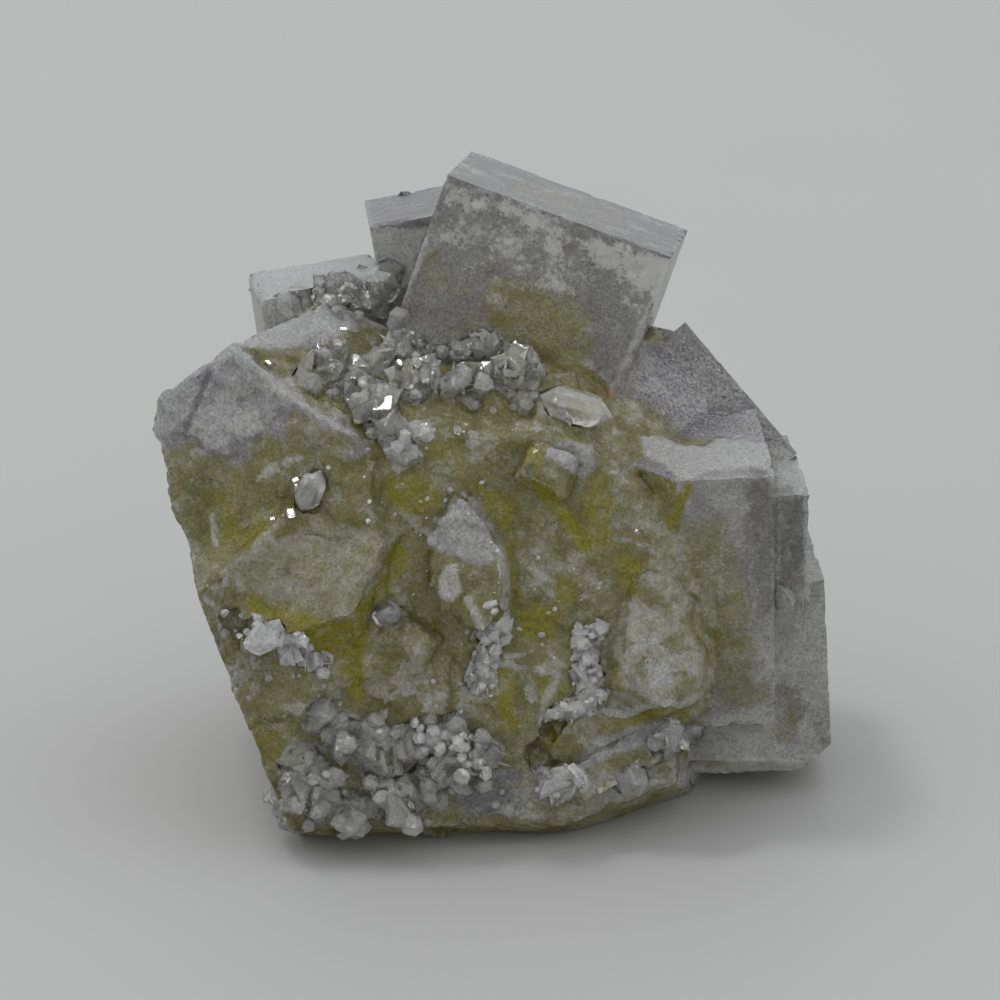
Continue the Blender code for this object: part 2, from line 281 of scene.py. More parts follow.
CUBES: dict[str, GrownCube] = {
    "top": GrownCube((2.492, 3.942, 30.8), (15.7, 15.2, 15.8), (-6.0, 10.6, 18.5), 4.2, 0.25),
    "right_diamond": GrownCube((10.492, 3.842, 19.9), (11.5, 12.0, 16.0), (0.0, 20.0, 49.5), 4.5, 0.25),
    "right_front": GrownCube((12.992, -5.558, 15.9), (10.4, 10.0, 18.4), (4.0, -7.0, -2.0), 3.6, 0.8),
    "right_step": GrownCube((13.692, -2.458, 14.3), (13.0, 10.0, 16.0), (6.0, -4.0, 1.0), 3.4, 0.4),
    "upper_left": GrownCube((-11.308, 6.042, 28.3), (8.6, 9.0, 8.6), (8.0, 6.0, -7.0), 5.0, 0.0),
    "crest": GrownCube((-3.908, 9.042, 32.4), (7.8, 8.0, 9.0), (4.0, 4.0, -10.0), 3.0, 0.3),
    "lower_right": GrownCube((15.192, -0.358, 7.9), (13.8, 13.0, 13.9), (3.0, 2.0, -3.0), 3.2, 0.35),
    "back_left": GrownCube((-9.508, 8.942, 15.0), (15.0, 13.0, 15.0), (12.0, -6.0, 8.0), 3.6, 0.8),
    "back_right": GrownCube((7.492, 10.442, 11.5), (13.0, 12.0, 13.0), (-16.0, 5.0, -11.0), 3.4, 0.8),
    "back_crest": GrownCube((-1.008, 11.642, 24.5), (9.0, 8.0, 9.0), (24.0, 10.0, 21.0), 3.0, 0.5),
}


def split_long_edges(bm: bmesh.types.BMesh, longest: float, share_of: "Refiner | None" = None) -> None:
    """Halves edges until none is longer than allowed.

    Args:
        bm: Mesh of triangles, in millimetres.
        longest: Greatest length of an edge.
        share_of: Gives a place its own share of longest, or None for 1 everywhere.
    """
    limit = longest * SPLIT_SLACK
    for _ in range(SPLIT_ROUNDS):
        long = [edge for edge in bm.edges if edge.calc_length() > limit]
        if share_of:
            long = [edge for edge in long if edge.calc_length() > limit * share_of.coarseness(edge)]
        if not long:
            return
        bmesh.ops.subdivide_edges(bm, edges=long, cuts=1)
        bm.normal_update()
        bmesh.ops.triangulate(bm, faces=[face for face in bm.faces if len(face.verts) > 3])


@dataclass(frozen=True)
class Refiner:
    """Keeps triangles small where the main view looks, and larger elsewhere.

    Attributes:
        towards: Direction of the main camera.
        hidden: How many times longer an edge may be on a side that looks away.
        turned: Least cosine to the camera of a face that still counts as looked at.
    """

    towards: Vector
    hidden: float = 2.9
    turned: float = -0.12

    def coarseness(self, edge: bmesh.types.BMEdge) -> float:
        """Share of the longest edge that this edge may have."""
        for face in edge.link_faces:
            if face.normal.dot(self.towards) > self.turned:
                return 1.0
        return self.hidden


def bmesh_of_node(node: str) -> bmesh.types.BMesh:
    """Copies a frame node's mesh and merges its loose triangles.

    Args:
        node: Name of the node.

    Returns:
        A closed mesh, in millimetres.
    """
    bm = bmesh.new()
    bm.from_mesh(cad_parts[node].data)
    bmesh.ops.scale(bm, vec=(1 / MM, 1 / MM, 1 / MM), verts=bm.verts)
    bmesh.ops.remove_doubles(bm, verts=bm.verts, dist=NODE_MERGE)
    bmesh.ops.dissolve_limit(bm, angle_limit=math.radians(FLAT_ANGLE), verts=bm.verts, edges=bm.edges)
    bmesh.ops.triangulate(bm, faces=bm.faces)
    bm.normal_update()
    return bm


def finish_piece(bm: bmesh.types.BMesh, name: str, crease: float, finish: bpy.types.Material) -> bpy.types.Object:
    """Turns a bmesh in millimetres into a shaded piece that rides on the root body.

    Args:
        bm: The mesh, freed here.
        name: Name of the piece.
        crease: Angle between faces, in degrees, from which their edge stays sharp.
        finish: Its finish.

    Returns:
        The new object, at the origin.
    """
    bmesh.ops.scale(bm, vec=(MM, MM, MM), verts=bm.verts)
    mesh = bpy.data.meshes.new(name)
    bm.to_mesh(mesh)
    bm.free()
    mesh.shade_smooth()
    mesh.set_sharp_from_angle(angle=math.radians(crease))
    piece = bpy.data.objects.new(name, mesh)
    bpy.context.scene.collection.objects.link(piece)
    mesh.materials.append(finish)
    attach(piece, "root")
    return piece


class Sight:
    """What the main view meets first: the surface of the frame's nodes."""

    def __init__(self, nodes: list[str]) -> None:
        """Gathers the nodes' surfaces into one tree.

        Args:
            nodes: Names of the frame's nodes.
        """
        gathered = bmesh.new()
        for node in nodes:
            gathered.from_mesh(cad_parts[node].data)
        self.tree = BVHTree.FromBMesh(gathered)
        gathered.free()

    def seat(self, spot: Spot) -> tuple[Vector, Vector] | None:
        """Place, in millimetres, and normal of the surface behind a frame point, or None past the silhouette."""
        start, through = VIEW.ray(spot)
        place, normal, _, _ = self.tree.ray_cast(start, through)
        return None if place is None else (place / MM, normal)

    def height_of(self, place: Vector) -> float:
        """How far a place stands over the nearest surface, in millimetres."""
        foot, normal, _, _ = self.tree.find_nearest(place * MM)
        return (place - foot / MM).dot(normal)

    def open_to_view(self, places: np.ndarray, normals: np.ndarray) -> np.ndarray:
        """Tells which places nothing hides from the main camera.

        Args:
            places: N by 3, in millimetres.
            normals: N by 3.

        Returns:
            N booleans.
        """
        eye = VIEW.eye()
        lifted = (places + normals * EYE_LIFT) * MM
        to_eye = eye * MM - lifted
        facing = np.einsum("ij,ij->i", normals, to_eye) > 0
        seen = np.zeros(len(places), bool)
        for index in np.flatnonzero(facing):
            hit = self.tree.ray_cast(Vector(lifted[index]), Vector(to_eye[index]))[0]
            seen[index] = hit is None
        return seen


def noise_at(places: np.ndarray, size: float, seed: float, octaves: int = 3) -> np.ndarray:
    """Soft noise between about -1 and 1.

    Args:
        places: N by 3, in millimetres.
        size: Size of its largest lumps.
        seed: Offset that makes one noise unlike another.
        octaves: Layers of finer and finer lumps.

    Returns:
        N values.
    """
    shift = Vector((seed, seed * 1.7, -seed))
    scaled = places / size
    return np.array([noise.fractal(Vector(p) + shift, 1.0, 2.1, octaves) for p in scaled])


def facets_at(places: np.ndarray, size: float, seed: float) -> tuple[np.ndarray, np.ndarray]:
    """Broken facets: each cell of a random tiling is one tilted plane.

    Args:
        places: N by 3, in millimetres.
        size: Size of a cell.
        seed: Offset that makes one tiling unlike another.

    Returns:
        N heights between about -1 and 1, and N random haze values between 0 and 1, one per cell.
    """
    shift = Vector((seed, -seed, seed * 0.5))
    heights = np.zeros(len(places))
    haze = np.zeros(len(places))
    for index, place in enumerate(places / size):
        here = Vector(place) + shift
        here += noise.noise_vector(here * 2.3) * 0.16
        cell = noise.voronoi(here)[1][0]
        random_tilt = noise.cell_vector(cell * 977.0)
        tilt = (random_tilt - Vector((0.5, 0.5, 0.5))) * 2.0
        heights[index] = (here - cell).dot(tilt) + (random_tilt.z - 0.5) * 0.8
        haze[index] = random_tilt.x
    return heights, haze


class Graph:
    """Adds and links the nodes of one shader tree."""

    def __init__(self, tree: bpy.types.NodeTree) -> None:
        """Works on the given tree."""
        self.tree = tree

    def add(self, kind: str, settings: dict[str, object] | None = None, **inputs: object) -> bpy.types.Node:
        """Adds a node.

        Args:
            kind: Its type name, without the ShaderNode in front.
            settings: Properties to set on it.
            **inputs: Values or output sockets for its inputs, by name with _ for a space, or in<N> for number N.

        Returns:
            The new node.
        """
        node = self.tree.nodes.new("ShaderNode" + kind)
        for name, value in (settings or {}).items():
            setattr(node, name, value)
        for name, value in inputs.items():
            numbered = name.startswith("in") and name[2:].isdigit()
            socket = node.inputs[int(name[2:]) if numbered else name.replace("_", " ")]
            if isinstance(value, Socket):
                self.tree.links.new(value, socket)
            else:
                socket.default_value = value
        return node

    def math(self, operation: str, first: object, second: object = 0.0) -> Socket:
        """Result of a Math node."""
        return self.add("Math", {"operation": operation}, in0=first, in1=second).outputs[0]

    def ramp(self, value: Socket, low: float, high: float) -> Socket:
        """Value spread smoothly from 0 at low to 1 at high."""
        node = self.add("MapRange", {"interpolation_type": "SMOOTHSTEP"}, Value=value, From_Min=low, From_Max=high)
        return node.outputs["Result"]

    def mix(self, share: object, first: object, second: object) -> Socket:
        """Colour between first and second by share."""
        node = self.add("Mix", {"data_type": "RGBA"}, in0=share, in6=first, in7=second)
        return node.outputs[2]

    def darken(self, colour: Socket, shade: Socket) -> Socket:
        """Colour times shade."""
        settings = {"data_type": "RGBA", "blend_type": "MULTIPLY"}
        return self.add("Mix", settings, in0=1.0, in6=colour, in7=shade).outputs[2]

    def noise(self, where: Socket, size: float, detail: float = 3.0, rough: float = 0.55) -> Socket:
        """Noise whose largest lumps have the given size in millimetres."""
        node = self.add("TexNoise", None, Vector=where, Scale=1.0 / (size * MM), Detail=detail, Roughness=rough)
        return node.outputs["Fac"]

    def attribute(self, name: str) -> Socket:
        """Value of a mesh attribute."""
        return self.add("Attribute", {"attribute_name": name, "attribute_type": "GEOMETRY"}).outputs["Fac"]

    def group(self, tree: bpy.types.NodeTree, **inputs: object) -> bpy.types.Node:
        """Places a node group.

        Args:
            tree: The group.
            **inputs: Values or output sockets for its inputs, by name with _ for a space.

        Returns:
            The new group node.
        """
        node = self.tree.nodes.new("ShaderNodeGroup")
        node.node_tree = tree
        for name, value in inputs.items():
            socket = node.inputs[name.replace("_", " ")]
            if isinstance(value, Socket):
                self.tree.links.new(value, socket)
            else:
                socket.default_value = value
        return node


def shader_group(
    name: str, inputs: dict[str, float], outputs: list[str]
) -> tuple[Graph, bpy.types.Node, bpy.types.Node]:
    """Starts a shader node group.

    Args:
        name: Name of the group.
        inputs: Float inputs with their defaults. One called Place is a vector.
        outputs: Names of its float outputs.

    Returns:
        A graph on the group, its input node and its output node.
    """
    tree = bpy.data.node_groups.new(name, "ShaderNodeTree")
    for label, value in inputs.items():
        if label == "Place":
            tree.interface.new_socket(label, in_out="INPUT", socket_type="NodeSocketVector")
            continue
        socket = tree.interface.new_socket(label, in_out="INPUT", socket_type="NodeSocketFloat")
        socket.default_value = value
    for label in outputs:
        tree.interface.new_socket(label, in_out="OUTPUT", socket_type="NodeSocketFloat")
    return Graph(tree), tree.nodes.new("NodeGroupInput"), tree.nodes.new("NodeGroupOutput")


def grain_group() -> bpy.types.NodeTree:
    """Sugary grain of a frosted face: Shade is around 1 and Height is for a Bump node."""
    graph, given, out = shader_group(
        "sugary_grain", {"Place": 0.0, "Fineness": 3600.0, "Contrast": 0.3}, ["Shade", "Height"]
    )
    place, fineness = given.outputs["Place"], given.outputs["Fineness"]
    fine = graph.add("TexNoise", None, Vector=place, Scale=fineness, Detail=1.0, Roughness=0.7)
    spread = graph.math("MULTIPLY", graph.math("SUBTRACT", fine.outputs["Fac"], 0.5), 3.6)
    shade = graph.math("MULTIPLY_ADD", spread, given.outputs["Contrast"])
    shade.node.inputs[2].default_value = 1.0
    graph.tree.links.new(shade, out.inputs["Shade"])
    graph.tree.links.new(fine.outputs["Fac"], out.inputs["Height"])
    return graph.tree


def powder_group() -> bpy.types.NodeTree:
    """White powder that lies in patches of specks: Mask is 1 on a speck."""
    graph, given, out = shader_group("white_powder", {"Place": 0.0, "Cover": 0.5}, ["Mask"])
    place = given.outputs["Place"]
    broad = graph.noise(place, 2.2, 3.0, 0.62)
    specks = graph.noise(place, 0.4, 2.0, 0.8)
    both = graph.math("ADD", graph.math("MULTIPLY", broad, 1.1), graph.math("MULTIPLY", specks, 0.9))
    level = graph.math("ADD", both, graph.math("MULTIPLY", given.outputs["Cover"], 0.52))
    mask = graph.ramp(level, 1.14, 1.5)
    bounded = graph.math("MULTIPLY", mask, graph.ramp(given.outputs["Cover"], 0.02, 0.2))
    graph.tree.links.new(bounded, out.inputs["Mask"])
    return graph.tree


def flake_group() -> bpy.types.NodeTree:
    """Broken flakes: Haze is one random value for each flake."""
    graph, given, out = shader_group("broken_flakes", {"Place": 0.0, "Fineness": 450.0}, ["Haze"])
    place, fineness = given.outputs["Place"], given.outputs["Fineness"]
    cells = graph.add("TexVoronoi", None, Vector=place, Scale=fineness)
    parts = graph.add("SeparateColor", None, in0=cells.outputs["Color"])
    graph.tree.links.new(parts.outputs[0], out.inputs["Haze"])
    return graph.tree


def new_material(name: str) -> tuple[bpy.types.Material, Graph, bpy.types.Node, Socket]:
    """Starts a material.

    Args:
        name: Its name.

    Returns:
        The material, a graph on it, its Principled shader and the Object coordinates.
    """
    made = bpy.data.materials.new(name)
    made.use_nodes = True
    graph = Graph(made.node_tree)
    shader = made.node_tree.nodes["Principled BSDF"]
    where = graph.add("TexCoord").outputs["Object"]
    return made, graph, shader, where


def absorb(graph: Graph, colour: Colour, density: float) -> None:
    """Gives a clear material its plain absorption."""
    volume = graph.add("VolumeAbsorption", None, Color=(*colour, 1.0), Density=density)
    output = graph.tree.nodes["Material Output"]
    graph.tree.links.new(volume.outputs["Volume"], output.inputs["Volume"])


@dataclass(frozen=True)
class FluoriteFinish:
    """Frosted, hazy fluorite with olive cores under a colourless to grey-violet skin.

    Attributes:
        powder_cover: Share of white that a speck of powder reaches.
        gloss: Roughness of the clean crystal.
        dulling: Roughness that full haze adds to it.
        grain_fineness: Scale of the sugary grain.
        grain_height: Height of its bumps.
        see_through: Share of light that goes in.
        density: Strength of the plain absorption inside.
    """

    name: str = "frosted_fluorite"
    skin: Colour = (0.33, 0.33, 0.31)
    violet: Colour = (0.335, 0.32, 0.35)
    dark: Colour = (0.15, 0.145, 0.155)
    olive: Colour = (0.275, 0.255, 0.11)
    olive_deep: Colour = (0.18, 0.162, 0.048)
    vivid: Colour = (0.27, 0.245, 0.014)
    haze: Colour = (0.60, 0.60, 0.60)
    powder: Colour = (0.74, 0.74, 0.74)
    rust: Colour = (0.30, 0.12, 0.06)
    powder_cover: float = 0.76
    gloss: float = 0.14
    dulling: float = 0.4
    grain_fineness: float = 5200.0
    grain_height: float = 0.06
    see_through: float = 0.42
    refraction: float = 1.434
    absorption: Colour = (0.82, 0.80, 0.45)
    density: float = 70.0

    def tone(self, graph: Graph, where: Socket, mottle: Socket) -> Socket:
        """Colour of the clean crystal: skin, violet, dark strips and painted shade over the olive core.

        Args:
            graph: The material's graph.
            where: Object coordinates.
            mottle: Soft noise of a few millimetres.

        Returns:
            The colour.
        """
        centred = graph.math("SUBTRACT", mottle, 0.5)
        uneven = graph.math("MULTIPLY_ADD", centred, 0.9)
        graph.tree.links.new(graph.attribute(Zone.CORE.value), uneven.node.inputs[2])
        depth = graph.ramp(graph.noise(where, 2.0, 2.0), 0.32, 0.68)
        olive = graph.mix(depth, (*self.olive_deep, 1.0), (*self.olive, 1.0))
        skin = graph.mix(graph.attribute(Zone.VIOLET.value), (*self.skin, 1.0), (*self.violet, 1.0))
        # Dark strips and painted shade, from the dark zone.
        skin = graph.mix(graph.attribute(Zone.DARK.value), skin, (*self.dark, 1.0))
        skin = graph.mix(graph.math("MULTIPLY", graph.ramp(mottle, 0.4, 0.72), 0.35), skin, (*self.dark, 1.0))
        body = graph.mix(graph.ramp(uneven, 0.05, 0.85), skin, olive)
        vivid = graph.math("ADD", graph.attribute(Zone.VIVID.value), graph.math("MULTIPLY", centred, 0.6))
        return graph.mix(graph.ramp(vivid, 0.05, 0.8), body, (*self.vivid, 1.0))

    def veils(self, graph: Graph, where: Socket, groups: "Groups", wisps: Socket) -> tuple[Socket, Socket]:
        """Haze over the clean crystal, in wisps and in crisp broken flakes.

        Args:
            graph: The material's graph.
            where: Object coordinates.
            groups: The shared node groups.
            wisps: Noise of about a millimetre.

        Returns:
            Share of haze, and share of the bright thin lines: inner fractures with their glints painted in.
        """
        broken = graph.attribute(Zone.BROKEN.value)
        centred = graph.math("SUBTRACT", wisps, 0.5)
        shift = graph.add("CombineXYZ", None, X=centred, Y=graph.math("MULTIPLY", centred, -0.7), Z=centred)
        pushed = graph.add("VectorMath", {"operation": "SCALE"}, in0=shift.outputs[0], Scale=1.4 * MM)
        stirred = graph.add("VectorMath", {"operation": "ADD"}, in0=where, in1=pushed.outputs[0]).outputs[0]
        flakes = graph.group(groups.flakes, Place=stirred, Fineness=400.0)
        splinters = graph.group(groups.flakes, Place=stirred, Fineness=1300.0)
        crisp = graph.math("MULTIPLY", graph.math("SUBTRACT", flakes.outputs["Haze"], 0.55), 0.45)
        small = graph.math("MULTIPLY", graph.math("SUBTRACT", splinters.outputs["Haze"], 0.5), 0.3)
        crisp = graph.math("MULTIPLY", graph.math("ADD", crisp, small), broken)
        # The frost zone holds real frost and the painted light of the right faces.
        level = graph.math("ADD", graph.math("ADD", graph.attribute(Zone.FROST_AND_LIGHT.value), crisp), centred)
        haze = graph.math("MULTIPLY", graph.ramp(level, 0.05, 1.0), 0.85)
        # Painted glints: thin bright lines along inner fractures of the broken faces.
        apart = graph.math("ABSOLUTE", graph.math("SUBTRACT", wisps, 0.575))
        line = graph.math("SUBTRACT", 1.0, graph.ramp(apart, 0.0, 0.014))
        chosen = graph.ramp(splinters.outputs["Haze"], 0.4, 0.6)
        return haze, graph.math("MULTIPLY", graph.math("MULTIPLY", line, broken), chosen)

    def build(self, groups: "Groups") -> bpy.types.Material:
        """Makes the material.

        Args:
            groups: The shared node groups.

        Returns:
            The material.
        """
        made, graph, shader, where = new_material(self.name)
        mottle = graph.noise(where, 3.4, 2.0, 0.6)
        wisps = graph.noise(where, 1.2, 3.0, 0.72)
        haze, lines = self.veils(graph, where, groups, wisps)
        body = graph.mix(haze, self.tone(graph, where, mottle), (*self.haze, 1.0))
        edged = graph.math("MULTIPLY", graph.attribute(Zone.EDGE.value), 0.5)
        # Edge wear, and the painted fracture glints.
        edged = graph.math("MAXIMUM", edged, graph.math("MULTIPLY", lines, 0.4))
        body = graph.mix(edged, body, (*self.haze, 1.0))
        contrast = graph.attribute(Zone.GRAIN.value)
        grain = graph.group(groups.grain, Place=where, Fineness=self.grain_fineness, Contrast=contrast)
        body = graph.darken(body, grain.outputs["Shade"])
        powder = graph.group(groups.powder, Place=where, Cover=graph.attribute(Zone.POWDER.value))
        covered = graph.math("MULTIPLY", powder.outputs["Mask"], self.powder_cover)
        body = graph.mix(covered, body, (*self.powder, 1.0))
        body = graph.mix(graph.attribute(Zone.RUST.value), body, (*self.rust, 1.0))
        graph.tree.links.new(body, shader.inputs["Base Color"])
        dull = graph.math("MULTIPLY", graph.math("MAXIMUM", haze, powder.outputs["Mask"]), self.dulling)
        graph.tree.links.new(graph.math("ADD", dull, self.gloss), shader.inputs["Roughness"])
        bump = graph.add("Bump", None, Strength=0.6, Distance=self.grain_height * MM, Height=grain.outputs["Height"])
        graph.tree.links.new(bump.outputs["Normal"], shader.inputs["Normal"])
        shader.inputs["IOR"].default_value = self.refraction
        shader.inputs["Transmission Weight"].default_value = self.see_through
        absorb(graph, self.absorption, self.density)
        return made


@dataclass(frozen=True)
class QuartzFinish:
    """Quartz, see-through, with faint milky veils.

    Attributes:
        clarity: Which quartz this is. Its value names the material.
        clear: Colour of the clear crystal.
        veil: Colour of its veils.
        see_through: Share of light that goes in.
        gloss: Roughness of the clear crystal.
        dulling: Roughness that a full veil adds to it.
        density: Strength of the plain absorption inside.
    """

    clarity: Clarity = Clarity.GLASSY
    clear: Colour = (0.985, 0.985, 0.965)
    veil: Colour = (0.92, 0.92, 0.905)
    see_through: float = 0.82
    refraction: float = 1.544
    absorption: Colour = (0.95, 0.96, 0.93)
    density: float = 12.0
    gloss: float = 0.05
    dulling: float = 0.2
    grain_fineness: float = 4200.0
    grain_height: float = 0.05

    def build(self, groups: "Groups") -> bpy.types.Material:
        """Makes the material.

        Args:
            groups: The shared node groups.

        Returns:
            The material.
        """
        made, graph, shader, where = new_material(self.clarity.value)
        own = graph.math("MULTIPLY", graph.math("SUBTRACT", graph.attribute(MILK), 0.5), 0.5)
        veils = graph.ramp(graph.math("ADD", graph.noise(where, 0.9, 2.0, 0.66), own), 0.36, 0.68)
        grain = graph.group(groups.grain, Place=where, Fineness=self.grain_fineness, Contrast=0.22)
        tone = graph.mix(veils, (*self.clear, 1.0), (*self.veil, 1.0))
        graph.tree.links.new(graph.darken(tone, grain.outputs["Shade"]), shader.inputs["Base Color"])
        dull = graph.math("ADD", graph.math("MULTIPLY", veils, self.dulling), self.gloss)
        graph.tree.links.new(dull, shader.inputs["Roughness"])
        bump = graph.add("Bump", None, Strength=0.3, Distance=self.grain_height * MM, Height=grain.outputs["Height"])
        graph.tree.links.new(bump.outputs["Normal"], shader.inputs["Normal"])
        shader.inputs["IOR"].default_value = self.refraction
        shader.inputs["Transmission Weight"].default_value = self.see_through
        absorb(graph, self.absorption, self.density)
        return made


QUARTZES: tuple[QuartzFinish, ...] = (
    QuartzFinish(),
    QuartzFinish(
        Clarity.STAINED, (0.985, 0.98, 0.92), (0.93, 0.925, 0.85), 0.78, absorption=(0.92, 0.91, 0.70),
        density=26.0,
    ),
    QuartzFinish(Clarity.MILKY, (0.96, 0.96, 0.945), (0.86, 0.86, 0.85), 0.56),
)


@dataclass(frozen=True)
class FloorFinish:
    """The plain pale floor."""

    tone: Colour = (0.43, 0.43, 0.425)

    def build(self) -> bpy.types.Material:
        """Makes the material."""
        made, graph, shader, where = new_material("pale_floor")
        shade = graph.ramp(graph.noise(where, 60.0, 3.0, 0.5), 0.2, 0.8)
        tone = graph.mix(shade, (*self.tone, 1.0), tuple(c * 1.04 for c in self.tone) + (1.0,))
        graph.tree.links.new(tone, shader.inputs["Base Color"])
        shader.inputs["Roughness"].default_value = 0.6
        return made


@dataclass(frozen=True)
class Groups:
    """The node groups that several finishes share."""

    grain: bpy.types.NodeTree
    powder: bpy.types.NodeTree
    flakes: bpy.types.NodeTree


